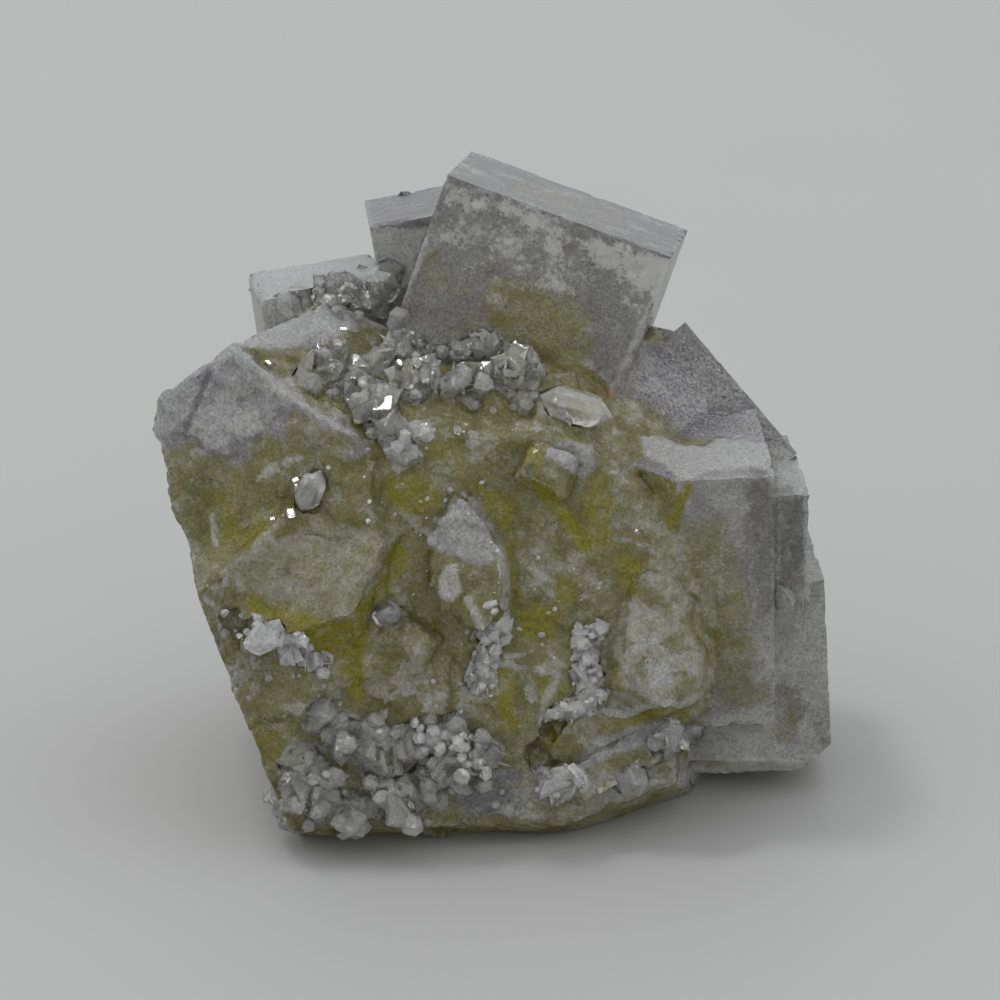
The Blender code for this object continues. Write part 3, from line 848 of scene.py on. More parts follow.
KITE: tuple[Spot, ...] = (
    (236, 560), (255, 553), (310, 520), (400, 535), (343, 620), (320, 616), (275, 600), (241, 591),
)
PATCHES: dict[str, Patch] = {
    "left_margin": Patch(
        Zone.FROST_AND_LIGHT, ((157, 445), (200, 450), (208, 520), (203, 600), (222, 690), (190, 640), (160, 560)), 0.3, 16.0,
    ),
    "left_column": Patch(Zone.FROST_AND_LIGHT, ((210, 616), (258, 622), (270, 690), (240, 730), (222, 700)), 0.32, 14.0),
    "left_veil": Patch(Zone.FROST_AND_LIGHT, ((250, 470), (290, 446), (310, 460), (300, 492), (262, 496)), 0.3, 9.0),
    "upper_veil": Patch(
        Zone.FROST_AND_LIGHT, ((330, 455), (400, 458), (385, 500), (420, 530), (400, 545), (330, 500)), 0.32, 12.0
    ),
    "middle_veil": Patch(Zone.FROST_AND_LIGHT, ((505, 565), (585, 545), (600, 590), (570, 610), (520, 595)), 0.34, 12.0),
    "right_veil": Patch(
        Zone.FROST_AND_LIGHT, ((640, 500), (690, 520), (740, 560), (720, 610), (650, 600), (640, 560)), 0.36, 18.0
    ),
    "lower_veil": Patch(
        Zone.FROST_AND_LIGHT, ((330, 650), (420, 640), (480, 690), (470, 720), (390, 700), (330, 690)), 0.3, 14.0
    ),
    "foot_veil": Patch(
        Zone.FROST_AND_LIGHT, ((290, 720), (400, 735), (470, 780), (440, 820), (330, 830), (280, 780)), 0.34, 16.0
    ),
    "left_olive": Patch(
        Zone.CORE, ((185, 470), (240, 440), (262, 470), (250, 540), (200, 560)), 1.0, 14.0, clears=(Zone.FROST_AND_LIGHT,)
    ),
    "left_green": Patch(
        Zone.VIVID, ((214, 490), (232, 488), (240, 528), (262, 503), (268, 528), (250, 548), (216, 548)), 0.5, 8.0,
        clears=(Zone.FROST_AND_LIGHT,),
    ),
    "upper_green": Patch(
        Zone.VIVID, ((385, 473), (440, 476), (442, 512), (402, 517), (384, 497)), 0.62, 8.0, clears=(Zone.FROST_AND_LIGHT,),
    ),
    "string_green": Patch(
        Zone.VIVID, ((426, 440), (458, 436), (462, 462), (432, 466)), 0.45, 7.0, clears=(Zone.FROST_AND_LIGHT,)
    ),
    "lens_green": Patch(
        Zone.VIVID, ((468, 484), (506, 484), (514, 520), (502, 532), (488, 508)), 0.6, 7.0, clears=(Zone.FROST_AND_LIGHT,)
    ),
    "lens_right_green": Patch(
        Zone.VIVID, ((502, 530), (514, 528), (520, 600), (510, 620), (506, 580)), 0.5, 6.0, clears=(Zone.FROST_AND_LIGHT,)
    ),
    "centre_green": Patch(
        Zone.VIVID, ((516, 612), (540, 600), (560, 612), (556, 640), (520, 642)), 0.72, 7.0, clears=(Zone.FROST_AND_LIGHT,),
    ),
    "centre_spot": Patch(
        Zone.VIVID, ((550, 578), (574, 572), (580, 600), (560, 610)), 0.6, 7.0, clears=(Zone.FROST_AND_LIGHT,)
    ),
    "upper_spot": Patch(
        Zone.VIVID, ((522, 443), (541, 445), (538, 467), (524, 466)), 0.6, 5.0, clears=(Zone.FROST_AND_LIGHT,)
    ),
    "streak_side": Patch(
        Zone.VIVID, ((584, 476), (612, 472), (614, 520), (606, 560), (586, 545)), 0.5, 7.0, clears=(Zone.FROST_AND_LIGHT,)
    ),
    "right_spot": Patch(
        Zone.VIVID, ((617, 556), (642, 556), (640, 592), (622, 596)), 0.7, 8.0, clears=(Zone.FROST_AND_LIGHT,)
    ),
    "right_stripe": Patch(Zone.VIVID, ((690, 483), (672, 522)), 0.7, 4.0, 6.0, clears=(Zone.FROST_AND_LIGHT,)),
    "under_cloud": Patch(
        Zone.VIVID, ((600, 722), (640, 712), (700, 706), (702, 716), (640, 724), (605, 734)), 0.6, 5.0,
        clears=(Zone.FROST_AND_LIGHT,),
    ),
    "green_streak": Patch(
        Zone.VIVID, ((538, 484), (556, 506), (574, 530), (586, 546)), 1.3, 2.0, 7.0, -0.1, (Zone.FROST_AND_LIGHT,)
    ),
    "lower_streak": Patch(
        Zone.VIVID, ((500, 672), (506, 700), (508, 724)), 0.85, 6.0, 10.0, clears=(Zone.FROST_AND_LIGHT,)
    ),
    "lower_green": Patch(
        Zone.VIVID, ((536, 664), (566, 684), (560, 745), (544, 752), (540, 700)), 0.6, 8.0, clears=(Zone.FROST_AND_LIGHT,)
    ),
    "foot_green": Patch(
        Zone.VIVID, ((236, 716), (300, 740), (286, 770), (262, 780)), 0.4, 12.0, clears=(Zone.FROST_AND_LIGHT,)
    ),
    # Olive band under the kite's lower edge: the olive body colour, and painted shade where the kite overhangs it.
    "under_kite": Patch(
        Zone.VIVID, ((243, 594), (275, 606), (320, 620), (345, 625), (398, 545), (408, 556), (366, 628), (362, 700),
        (340, 690), (300, 652), (250, 612)), 1.0, 4.0, clears=(Zone.FROST_AND_LIGHT,),
    ),
    "shoulder_rim": Patch(
        Zone.VIOLET, ((160, 400), (236, 348), (300, 400), (370, 440), (372, 452), (330, 455), (285, 440), (262, 432),
        (240, 470), (200, 445), (160, 450)), 0.9, 9.0, clears=(Zone.CORE,),
    ),
    "shoulder_olive": Patch(Zone.CORE, ((292, 404), (330, 425), (368, 443), (330, 457), (285, 442)), 0.62, 7.0),
    "shoulder_slab": Patch(
        Zone.FROST_AND_LIGHT, ((160, 438), (184, 429), (199, 432), (205, 441), (223, 452), (242, 441), (253, 432), (274, 413),
        (292, 397), (270, 375), (237, 350), (160, 395)), 0.66, 3.0, raised=0.25, clears=(Zone.CORE, Zone.VIVID),
    ),
    "slab_lip": Patch(
        Zone.FROST_AND_LIGHT, ((186, 432), (200, 434), (208, 446), (226, 453), (244, 442), (274, 414)), 1.1, 1.5, 2.0, 0.15,
    ),
    "slab_side": Patch(Zone.FROST_AND_LIGHT, ((221, 363), (205, 400), (192, 438)), 1.0, 2.0, 2.0, 0.1),
    "slab_seam": Patch(Zone.DARK, ((214, 366), (198, 402), (186, 436)), 0.7, 2.0, 3.0, clears=(Zone.FROST_AND_LIGHT,)),
    "slab_top": Patch(Zone.FROST_AND_LIGHT, ((160, 398), (190, 374), (236, 350)), 1.0, 2.0, 2.5),
    "shoulder_dark": Patch(Zone.DARK, ((228, 362), (244, 356), (270, 385), (240, 410), (214, 395)), 0.4, 12.0),
    "shoulder_edge": Patch(
        Zone.FROST_AND_LIGHT, ((237, 350), (268, 378), (300, 404), (330, 422), (365, 440)), 1.0, 2.5, 2.5
    ),
    "dusty_ledge": Patch(
        Zone.FROST_AND_LIGHT, ((637, 434), (660, 436), (677, 445), (706, 447), (716, 438), (750, 442), (793, 450), (804, 468),
        (806, 490), (796, 500), (790, 487), (771, 490), (766, 472), (750, 468), (725, 471), (701, 476), (687, 482),
        (674, 477), (660, 464), (643, 456)), 0.85, 2.5, raised=0.12, clears=(Zone.CORE,),
    ),
    "kite": Patch(Zone.FROST_AND_LIGHT, KITE, 0.4, 3.0, clears=(Zone.VIVID, Zone.BROKEN)),
    "kite_clear": Patch(Zone.VIOLET, KITE, 0.2, 3.0),
    "lens": Patch(
        Zone.FROST_AND_LIGHT, ((464, 492), (480, 509), (494, 534), (500, 558), (482, 568), (456, 556), (436, 552), (430, 536),
        (440, 517)), 0.58, 3.0, clears=(Zone.CORE, Zone.VIVID, Zone.BROKEN),
    ),
    "lens_window": Patch(
        Zone.CORE, ((454, 556), (480, 566), (496, 570), (493, 610), (474, 620), (456, 606)), 0.5, 7.0,
        clears=(Zone.FROST_AND_LIGHT, Zone.VIVID),
    ),
    "lens_rim": Patch(Zone.FROST_AND_LIGHT, ((498, 548), (506, 588), (503, 612)), 1.0, 3.0, 4.5, 0.12),
    "lens_white": Patch(
        Zone.FROST_AND_LIGHT, ((440, 566), (458, 562), (464, 590), (454, 604), (440, 598)), 1.1, 3.0, raised=0.2
    ),
    "lens_lump": Patch(Zone.FROST_AND_LIGHT, ((424, 532), (434, 532), (436, 546), (428, 548)), 1.1, 2.5, raised=0.3),
    "lens_foot": Patch(Zone.FROST_AND_LIGHT, ((468, 600), (478, 618), (490, 640)), 0.9, 3.0, 5.0, 0.2),
    "lens_bar": Patch(Zone.FROST_AND_LIGHT, ((440, 520), (456, 514)), 1.2, 2.0, 4.0, 0.12),
    "cloud": Patch(
        Zone.FROST_AND_LIGHT, ((606, 620), (640, 600), (690, 606), (708, 640), (715, 672), (706, 690), (690, 702), (650, 706),
        (620, 715), (606, 712)), 0.55, 14.0, clears=(Zone.VIVID,),
    ),
    "cloud_crest": Patch(Zone.FROST_AND_LIGHT, ((648, 668), (664, 664), (678, 680), (676, 694), (652, 690)), 0.95, 6.0),
    "cloud_rim": Patch(
        Zone.FROST_AND_LIGHT, ((606, 711), (622, 714), (650, 705), (688, 701), (704, 690), (714, 674)), 1.0, 3.0, 4.0, 0.2
    ),
    "column": Patch(
        Zone.FROST_AND_LIGHT, ((574, 668), (580, 640), (606, 632), (607, 662), (601, 692), (588, 704), (578, 690)), 0.85, 5.0,
        raised=0.15,
    ),
    "thin_flake": Patch(Zone.FROST_AND_LIGHT, ((421, 713), (424, 696), (450, 684), (446, 717)), 0.8, 2.0, raised=0.2),
    "cross_vein": Patch(
        Zone.FROST_AND_LIGHT, ((503, 663), (530, 668), (558, 673), (546, 700), (541, 722)), 0.8, 3.0, 4.0, 0.1
    ),
    "short_bar": Patch(Zone.FROST_AND_LIGHT, ((506, 656), (520, 656), (534, 650)), 0.9, 2.5, 2.5, 0.1),
    "small_cloud": Patch(Zone.FROST_AND_LIGHT, ((527, 568), (545, 564), (552, 580), (535, 584)), 0.75, 5.0),
    "pale_band": Patch(
        Zone.FROST_AND_LIGHT, ((575, 772), (600, 748), (640, 735), (668, 724)), 0.55, 5.0, 10.0, clears=(Zone.CORE,)
    ),
    "dark_foot": Patch(
        Zone.DARK, ((455, 775), (520, 772), (524, 815), (460, 818)), 0.6, 9.0, clears=(Zone.CORE, Zone.FROST_AND_LIGHT)
    ),
    "foot_lumps": Patch(
        Zone.FROST_AND_LIGHT, ((413, 723), (430, 724), (461, 731), (489, 756), (483, 773), (461, 765), (421, 752)), 0.8, 4.0,
        raised=0.25,
    ),
    "foot_right": Patch(
        Zone.FROST_AND_LIGHT, ((503, 778), (560, 766), (640, 770), (690, 772), (640, 806), (560, 822), (505, 826)), 0.5, 8.0,
        clears=(Zone.VIVID,),
    ),
    "foot_arch": Patch(
        Zone.FROST_AND_LIGHT, ((286, 706), (320, 716), (355, 722), (374, 742), (368, 770)), 0.75, 4.0, 6.0, 0.1
    ),
    "grey_flake": Patch(
        Zone.FROST_AND_LIGHT, ((543, 454), (559, 441), (594, 443), (592, 470), (582, 477), (568, 470), (548, 459)), 0.5, 3.0,
        raised=0.12, clears=(Zone.CORE,),
    ),
    "string_white": Patch(
        Zone.FROST_AND_LIGHT, ((386, 452), (404, 448), (417, 455), (414, 464), (400, 472), (392, 470)), 1.1, 3.0, raised=0.2,
    ),
    "string_top": Patch(
        Zone.FROST_AND_LIGHT, ((405, 424), (418, 420), (434, 424), (432, 436), (412, 440)), 1.0, 3.0, raised=0.2
    ),
    "left_line": Patch(Zone.FROST_AND_LIGHT, ((257, 479), (280, 464), (302, 457)), 0.9, 2.0, 2.0),
    "left_sliver": Patch(Zone.FROST_AND_LIGHT, ((213, 514), (215, 534), (218, 546)), 1.1, 2.0, 2.5, 0.1),
    "left_hook": Patch(Zone.FROST_AND_LIGHT, ((202, 597), (221, 613), (218, 636)), 0.7, 3.0, 3.0),
    "left_ring": Patch(Zone.FROST_AND_LIGHT, ((205, 572), (215, 566), (226, 576), (222, 594)), 0.6, 3.0, 3.0),
    "string_tail": Patch(Zone.FROST_AND_LIGHT, ((304, 650), (326, 668), (344, 684)), 0.5, 4.0, 6.0, 0.15, (Zone.VIVID,)),
    "string_end": Patch(Zone.DARK, ((332, 674), (344, 684)), 0.6, 4.0, 4.0),
    "right_core": Patch(
        Zone.CORE, ((700, 560), (735, 540), (748, 600), (752, 650), (735, 690), (712, 700), (705, 640)), 0.8, 14.0,
        clears=(Zone.FROST_AND_LIGHT,),
    ),
    "right_core_veil": Patch(
        Zone.FROST_AND_LIGHT, ((700, 560), (735, 540), (748, 600), (752, 650), (735, 690), (712, 700), (705, 640)), 0.3, 14.0,
    ),
    "right_core_green": Patch(
        Zone.VIVID, ((712, 610), (740, 590), (748, 640), (730, 680), (712, 668)), 0.2, 10.0
    ),
    "top_core": Patch(
        Zone.CORE, ((462, 290), (520, 280), (568, 296), (590, 330), (580, 372), (555, 388), (530, 360), (480, 340)),
        0.85, 20.0, clears=(Zone.POWDER,),
    ),
    "top_left_dark": Patch(
        Zone.DARK, ((392, 322), (400, 270), (428, 196), (448, 216), (444, 300), (420, 332)), 0.6, 12.0
    ),
    "top_side_line": Patch(Zone.FROST_AND_LIGHT, ((671, 258), (641, 326), (612, 392)), 0.75, 2.5, 2.5),
    "top_side_stripe": Patch(Zone.FROST_AND_LIGHT, ((684, 250), (668, 330)), 0.6, 4.0, 5.0),
    "top_side_dark": Patch(Zone.DARK, ((668, 275), (648, 345)), 0.5, 4.0, 5.0),
    "top_left_core": Patch(Zone.CORE, ((405, 255), (440, 245), (452, 290), (420, 305)), 0.6, 16.0),
    # Painted shade on the top cube's front and right faces.
    "top_shade": Patch(
        Zone.DARK, ((448, 180), (694, 222), (690, 310), (610, 396), (392, 320), (388, 290)), 0.55, 10.0
    ),
    # Painted shade: the top cube's upper face is darkened in colour against the light from above.
    "top_face_shade": Patch(
        Zone.DARK, ((446, 180), (470, 142), (700, 222), (673, 260)), 1.0, 3.0, clears=(Zone.FROST_AND_LIGHT, Zone.POWDER)
    ),
    "top_face_powder": Patch(Zone.POWDER, ((448, 178), (472, 146), (694, 222), (674, 256)), 0.3, 3.0),
    "top_powder": Patch(
        Zone.POWDER, ((446, 184), (672, 262), (640, 312), (560, 296), (470, 270), (438, 230)), 0.42, 16.0
    ),
    "top_powder_crest": Patch(
        Zone.POWDER, ((449, 184), (673, 262), (656, 300), (600, 268), (540, 232), (500, 214), (446, 206)), 1.0, 8.0,
    ),
    "top_powder_line": Patch(
        Zone.POWDER, ((500, 245), (560, 240), (604, 262), (594, 288), (540, 275)), 0.5, 12.0
    ),
    "top_powder_spot": Patch(Zone.POWDER, ((544, 238), (562, 234), (566, 252), (550, 258)), 1.0, 5.0),
    "diamond_haze": Patch(
        Zone.VIOLET, ((640, 350), (684, 322), (790, 448), (700, 445), (625, 400)), 1.0, 10.0, clears=(Zone.CORE,),
    ),
    # Painted light on the diamond face.
    "diamond_light": Patch(Zone.FROST_AND_LIGHT, ((640, 350), (684, 322), (790, 448), (700, 445), (625, 400)), 0.3, 10.0),
    "diamond_grain": Patch(Zone.GRAIN, ((620, 400), (640, 350), (684, 322), (795, 448), (700, 445)), 0.8, 10.0),
    "diamond_olive": Patch(Zone.CORE, ((600, 400), (655, 405), (670, 440), (600, 450)), 0.7, 16.0),
    # Painted light on the right side faces.
    "side_light": Patch(
        Zone.FROST_AND_LIGHT, ((700, 480), (745, 480), (760, 620), (830, 590), (835, 790), (650, 790), (705, 720), (760, 690),
        (745, 560)), 0.56, 14.0,
    ),
    "dark_strip": Patch(
        Zone.DARK, ((744, 476), (790, 484), (806, 500), (808, 560), (802, 600), (770, 615), (748, 580)), 0.62, 10.0,
        clears=(Zone.CORE,),
    ),
    "dark_top": Patch(Zone.DARK, ((750, 466), (771, 466), (773, 500), (754, 498)), 0.8, 6.0),
    "strip_line_left": Patch(Zone.FROST_AND_LIGHT, ((724, 480), (722, 540), (721, 600)), 0.6, 2.0, 2.0),
    "strip_line_dark": Patch(Zone.DARK, ((746, 484), (748, 620)), 0.7, 3.0, 3.0),
    "strip_line_right": Patch(Zone.FROST_AND_LIGHT, ((780, 490), (779, 545), (778, 600)), 0.5, 2.0, 2.0),
    "strip_rim": Patch(Zone.FROST_AND_LIGHT, ((806, 500), (807, 598)), 0.9, 2.0, 2.5),
    "strip_crystal": Patch(Zone.FROST_AND_LIGHT, ((776, 600), (792, 598), (794, 612), (780, 614)), 1.0, 3.0),
    "dark_side": Patch(Zone.DARK, ((392, 250), (425, 240), (450, 270), (440, 330), (395, 318)), 0.55, 16.0),
    "rust_spot": Patch(Zone.RUST, ((604, 392), (616, 386), (612, 396)), 0.7, 5.0),
    "ghost_one": Patch(
        Zone.CORE, ((716, 694), (768, 684), (769, 700), (730, 712)), 0.5, 9.0, clears=(Zone.FROST_AND_LIGHT,)
    ),
    "ghost_two": Patch(
        Zone.CORE, ((780, 688), (802, 690), (802, 736), (776, 738)), 0.5, 9.0, clears=(Zone.FROST_AND_LIGHT,)
    ),
    "bevel_powder": Patch(Zone.POWDER, ((660, 782), (700, 766), (826, 752), (826, 772), (760, 786)), 0.7, 5.0),
    "blocks_haze": Patch(
        Zone.FROST_AND_LIGHT, ((230, 350), (240, 268), (366, 254), (362, 205), (380, 190), (440, 184), (420, 270), (390, 300),
        (330, 345)), 1.05, 8.0, clears=(Zone.CORE, Zone.VIVID, Zone.BROKEN),
    ),
    # Painted shade: the crest's top face is darkened in colour against the light from above.
    "crest_top_shade": Patch(
        Zone.DARK, ((360, 204), (380, 184), (446, 180), (440, 210), (428, 226), (364, 232)), 1.0, 4.0,
        clears=(Zone.FROST_AND_LIGHT,),
    ),
    "blocks_violet": Patch(
        Zone.VIOLET, ((230, 350), (240, 268), (366, 254), (380, 190), (440, 184), (420, 270), (330, 345)), 1.0, 10.0,
    ),
}


SOFT_AREAS: tuple[Patch, ...] = (
    Patch(Zone.BROKEN, ((362, 438), (398, 438), (398, 548), (362, 540)), edge=4.0),
    Patch(
        Zone.BROKEN, ((590, 560), (700, 560), (722, 640), (700, 690), (660, 640), (640, 700), (600, 690)), edge=4.0,
    ),
    Patch(
        Zone.BROKEN, ((420, 600), (500, 640), (560, 660), (540, 720), (420, 720), (345, 700), (345, 640)), edge=4.0,
    ),
    Patch(Zone.BROKEN, ((655, 490), (705, 490), (712, 720), (690, 720), (660, 560)), edge=4.0),
    Patch(Zone.BROKEN, ((232, 355), (250, 262), (268, 262), (262, 300), (250, 355)), edge=4.0),
)


@dataclass
class FluoriteCluster:
    """The fluorite body: whole cubes with grown faces, and a broken front between them.

    Attributes:
        edge_length: Longest triangle edge where the main view looks.
        merge: Distance within which its corners are one.
        chip_size: Size of the large broken facets.
        chip_height: How far they stand in and out.
        splinter_size: Size of the small broken facets.
        splinter_height: How far these stand in and out.
        grown_relief: Relief of the whole faces.
        bite_depth: Depth of the chips out of sharp edges.
        soft_rounds: Rounds of smoothing where the surface flows.
        sharp_angle: Angle between faces, in degrees, from which their edge is chipped.
        crease: Angle from which an edge is drawn sharp.
        skin: Greatest distance to a cube's plane, in millimetres, of a place on its whole face.
        broken_core: Share of olive on broken faces.
        frost: Share of frost on whole faces, and the most that a broken facet has.
        violet: Share of grey-violet in the skin.
        grain: Contrast of the sugary grain.
        powder: Share of powder on whole faces and on broken ones.
    """

    edge_length: float = 0.33
    merge: float = 0.07
    chip_size: float = 2.6
    chip_height: float = 0.26
    splinter_size: float = 0.95
    splinter_height: float = 0.1
    grown_relief: float = 0.035
    bite_depth: float = 0.22
    soft_rounds: int = 14
    sharp_angle: float = 35.0
    crease: float = 24.0
    skin: float = 0.03
    broken_core: float = 0.85
    frost: tuple[float, float] = (0.2, 0.45)
    violet: float = 0.35
    grain: float = 0.42
    powder: tuple[float, float] = (0.12, 0.1)
    name: str = "fluorite_body"
    finish: FluoriteFinish = field(default_factory=FluoriteFinish)

    def refine(self) -> bmesh.types.BMesh:
        """A copy of the frame's solid with small triangles."""
        bm = bmesh_of_node(CLUSTER)
        split_long_edges(bm, self.edge_length, Refiner(Vector(VIEW.axes()[2])))
        bmesh.ops.remove_doubles(bm, verts=bm.verts, dist=self.merge)
        bm.normal_update()
        return bm

    def soften(self, bm: bmesh.types.BMesh) -> None:
        """Rounds the solid's edges where the real surface flows.

        Args:
            bm: The mesh, in millimetres.
        """
        spots = VIEW.project(np.array([vert.co for vert in bm.verts]))
        still = np.zeros(len(spots))
        inside = np.max([area.mask(spots, still) for area in SOFT_AREAS], axis=0) > 0.5
        towards = Vector(VIEW.axes()[2])
        verts = [vert for vert, chosen in zip(bm.verts, inside) if chosen and vert.normal.dot(towards) > -0.1]
        for _ in range(self.soft_rounds):
            bmesh.ops.smooth_vert(bm, verts=verts, factor=0.5, **ONE_AXIS_EACH)
        bm.normal_update()

    def sharpness(self, bm: bmesh.types.BMesh) -> np.ndarray:
        """Finds the sharp convex edges.

        Args:
            bm: The mesh, in millimetres.

        Returns:
            How near each vertex is to such an edge, from 0 to 1.
        """
        sharp = np.zeros(len(bm.verts))
        for edge in bm.edges:
            if len(edge.link_faces) == 2 and edge.calc_face_angle_signed(0.0) > math.radians(self.sharp_angle):
                for vert in edge.verts:
                    sharp[vert.index] = 1.0
        spread = sharp.copy()
        for edge in bm.edges:
            a, b = edge.verts[0].index, edge.verts[1].index
            spread[a] = max(spread[a], sharp[b] * 0.45)
            spread[b] = max(spread[b], sharp[a] * 0.45)
        return spread

    def zones(self, places: np.ndarray, haze: np.ndarray, grown: np.ndarray) -> dict[Zone, np.ndarray]:
        """Shares of every zone at every vertex.

        Args:
            places: N by 3, in millimetres.
            haze: Random haze of its broken facet.
            grown: Whether it lies on a whole cube face.

        Returns:
            N shares for each zone.
        """
        shares = {zone: np.zeros(len(places)) for zone in Zone}
        shares[Zone.CORE][:] = np.where(grown, 0.0, self.broken_core)
        shares[Zone.FROST_AND_LIGHT][:] = np.where(grown, self.frost[0], smooth_share(0.3, 0.95, haze) * self.frost[1])
        shares[Zone.VIOLET][:] = self.violet
        shares[Zone.GRAIN][:] = self.grain
        shares[Zone.BROKEN][:] = np.where(grown, 0.0, 1.0)
        shares[Zone.POWDER][:] = np.where(grown, *self.powder)
        for cube in CUBES.values():
            depths = cube.depths(places)
            on_face = grown & (np.abs(depths[:, 0]) < 2.0 * self.skin)
            core = cube.core * smooth_share(cube.rim * 0.35, cube.rim * 1.3, depths[:, 1])
            shares[Zone.CORE] = np.where(on_face, np.maximum(shares[Zone.CORE], core), shares[Zone.CORE])
        return shares

    def paint(self, shares: dict[Zone, np.ndarray], places: np.ndarray, seen: np.ndarray) -> np.ndarray:
        """Lays the patches on the zones.

        Args:
            shares: N shares for each zone, changed here.
            places: N by 3, in millimetres.
            seen: Whether the main view sees the vertex.

        Returns:
            How far each vertex is raised by patches, in millimetres.
        """
        spots = VIEW.project(places)
        wobble = noise_at(places, 1.3, 31.0, 3)
        raised = np.zeros(len(places))
        for patch in PATCHES.values():
            mask = patch.mask(spots, wobble) * seen
            for zone in patch.clears:
                shares[zone] = shares[zone] * (1.0 - mask)
            shares[patch.zone] = np.maximum(shares[patch.zone], mask * patch.strength)
            raised += mask * patch.raised
        return raised

    def build(self, body: Sight, groups: Groups) -> bpy.types.Object:
        """Makes the piece.

        Args:
            body: The fluorite alone.
            groups: The shared node groups.

        Returns:
            The piece.
        """
        bm = self.refine()
        self.soften(bm)
        bm.verts.index_update()
        places = np.array([vert.co for vert in bm.verts])
        normals = np.array([vert.normal for vert in bm.verts])
        depth = np.min([np.abs(cube.depths(places)[:, 0]) for cube in CUBES.values()], axis=0)
        grown = depth < self.skin
        heights, haze = facets_at(places, self.chip_size, 5.0)
        small_heights, small_haze = facets_at(places, self.splinter_size, 17.0)
        seen = body.open_to_view(places, normals)
        edges = self.sharpness(bm)
        shares = self.zones(places, haze * 0.6 + small_haze * 0.4, grown)
        raised = self.paint(shares, places, seen)
        fine = noise_at(places, 0.8, 3.0, 3)
        broken = np.where(grown, 0.0, 1.0) * (1.0 - edges * 0.5)
        offset = broken * (heights * self.chip_height + small_heights * self.splinter_height)
        offset += fine * self.grown_relief
        bites = edges * smooth_share(0.15, 0.5, noise_at(places, 1.1, 61.0, 2)) * self.bite_depth
        offset += raised - bites
        resting = places[:, 2] < 0.3
        offset[resting] = 0.0
        shares[Zone.EDGE] = edges * smooth_share(-0.5, 0.4, fine) * np.where(grown, 1.0, 0.4)
        moved = places + normals * offset[:, None]
        moved[:, 2] = np.maximum(moved[:, 2], 0.0)
        for vert, place in zip(bm.verts, moved):
            vert.co = place
        piece = finish_piece(bm, self.name, self.crease, self.finish.build(groups))
        for zone, values in shares.items():
            layer = piece.data.attributes.new(zone.value, "FLOAT", "POINT")
            layer.data.foreach_set("value", values.astype(np.float32))
        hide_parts(CLUSTER)
        return piece


FLAT_SHARE = 0.3  # Share of small crystals that are flat ones.
FLAT_LENGTH = 0.35  # Their length as a share of the length given.


def crystal_shape(radius: float, length: float, blunt: float) -> bmesh.types.BMesh:
    """A small six-sided quartz crystal that stands on the origin along +Z.

    Args:
        radius: Of the prism.
        length: Of the prism without its point.
        blunt: Height of the point as a share of the radius.

    Returns:
        A closed mesh.
    """
    bm = bmesh.new()
    bmesh.ops.create_cone(
        bm, cap_ends=True, segments=6, radius1=radius, radius2=radius * 0.9, depth=length,
        matrix=Matrix.Translation((0.0, 0.0, length / 2)),
    )
    bm.normal_update()
    top = [face for face in bm.faces if face.normal.z > 0.9]
    bmesh.ops.poke(bm, faces=top, offset=radius * blunt)
    return bm


def plant(
    bm: bmesh.types.BMesh, root: Vector, axis: Vector, radius: float, length: float, rng: random.Random
) -> None:
    """Adds a quartz crystal to a mesh.

    Args:
        bm: The mesh, in millimetres.
        root: Where it stands.
        axis: Way that it points.
        radius: Of its prism.
        length: Of its prism.
        rng: Says whether it is a flat one, and gives its bluntness, its spin, its width and how milky it is.
    """
    flat = rng.random() < FLAT_SHARE
    blunt = rng.uniform(0.15, 0.4) if flat else rng.uniform(0.5, 1.0)
    one = crystal_shape(radius, length * (FLAT_LENGTH if flat else 1.0), blunt)
    turn = axis.to_track_quat("Z", "Y").to_matrix().to_4x4() @ Matrix.Rotation(rng.uniform(0.0, 1.05), 4, "Z")
    one.transform(Matrix.Translation(root) @ turn @ Matrix.Diagonal((1.0, rng.uniform(0.65, 1.2), 1.0, 1.0)))
    milky = rng.random()
    layer = one.verts.layers.float.get(MILK) or one.verts.layers.float.new(MILK)
    for vert in one.verts:
        vert[layer] = milky
    scratch = bpy.data.meshes.new("one_crystal")
    one.to_mesh(scratch)
    one.free()
    bm.from_mesh(scratch)
    bpy.data.meshes.remove(scratch)


SEAT_TURN = -0.2  # Least cosine to the main camera of a face that may carry a small crystal.
SEAT_AREA = 0.003  # Its least area, in square millimetres.
SEAT_HEIGHT = -0.1  # Its least height over the fluorite, in millimetres.


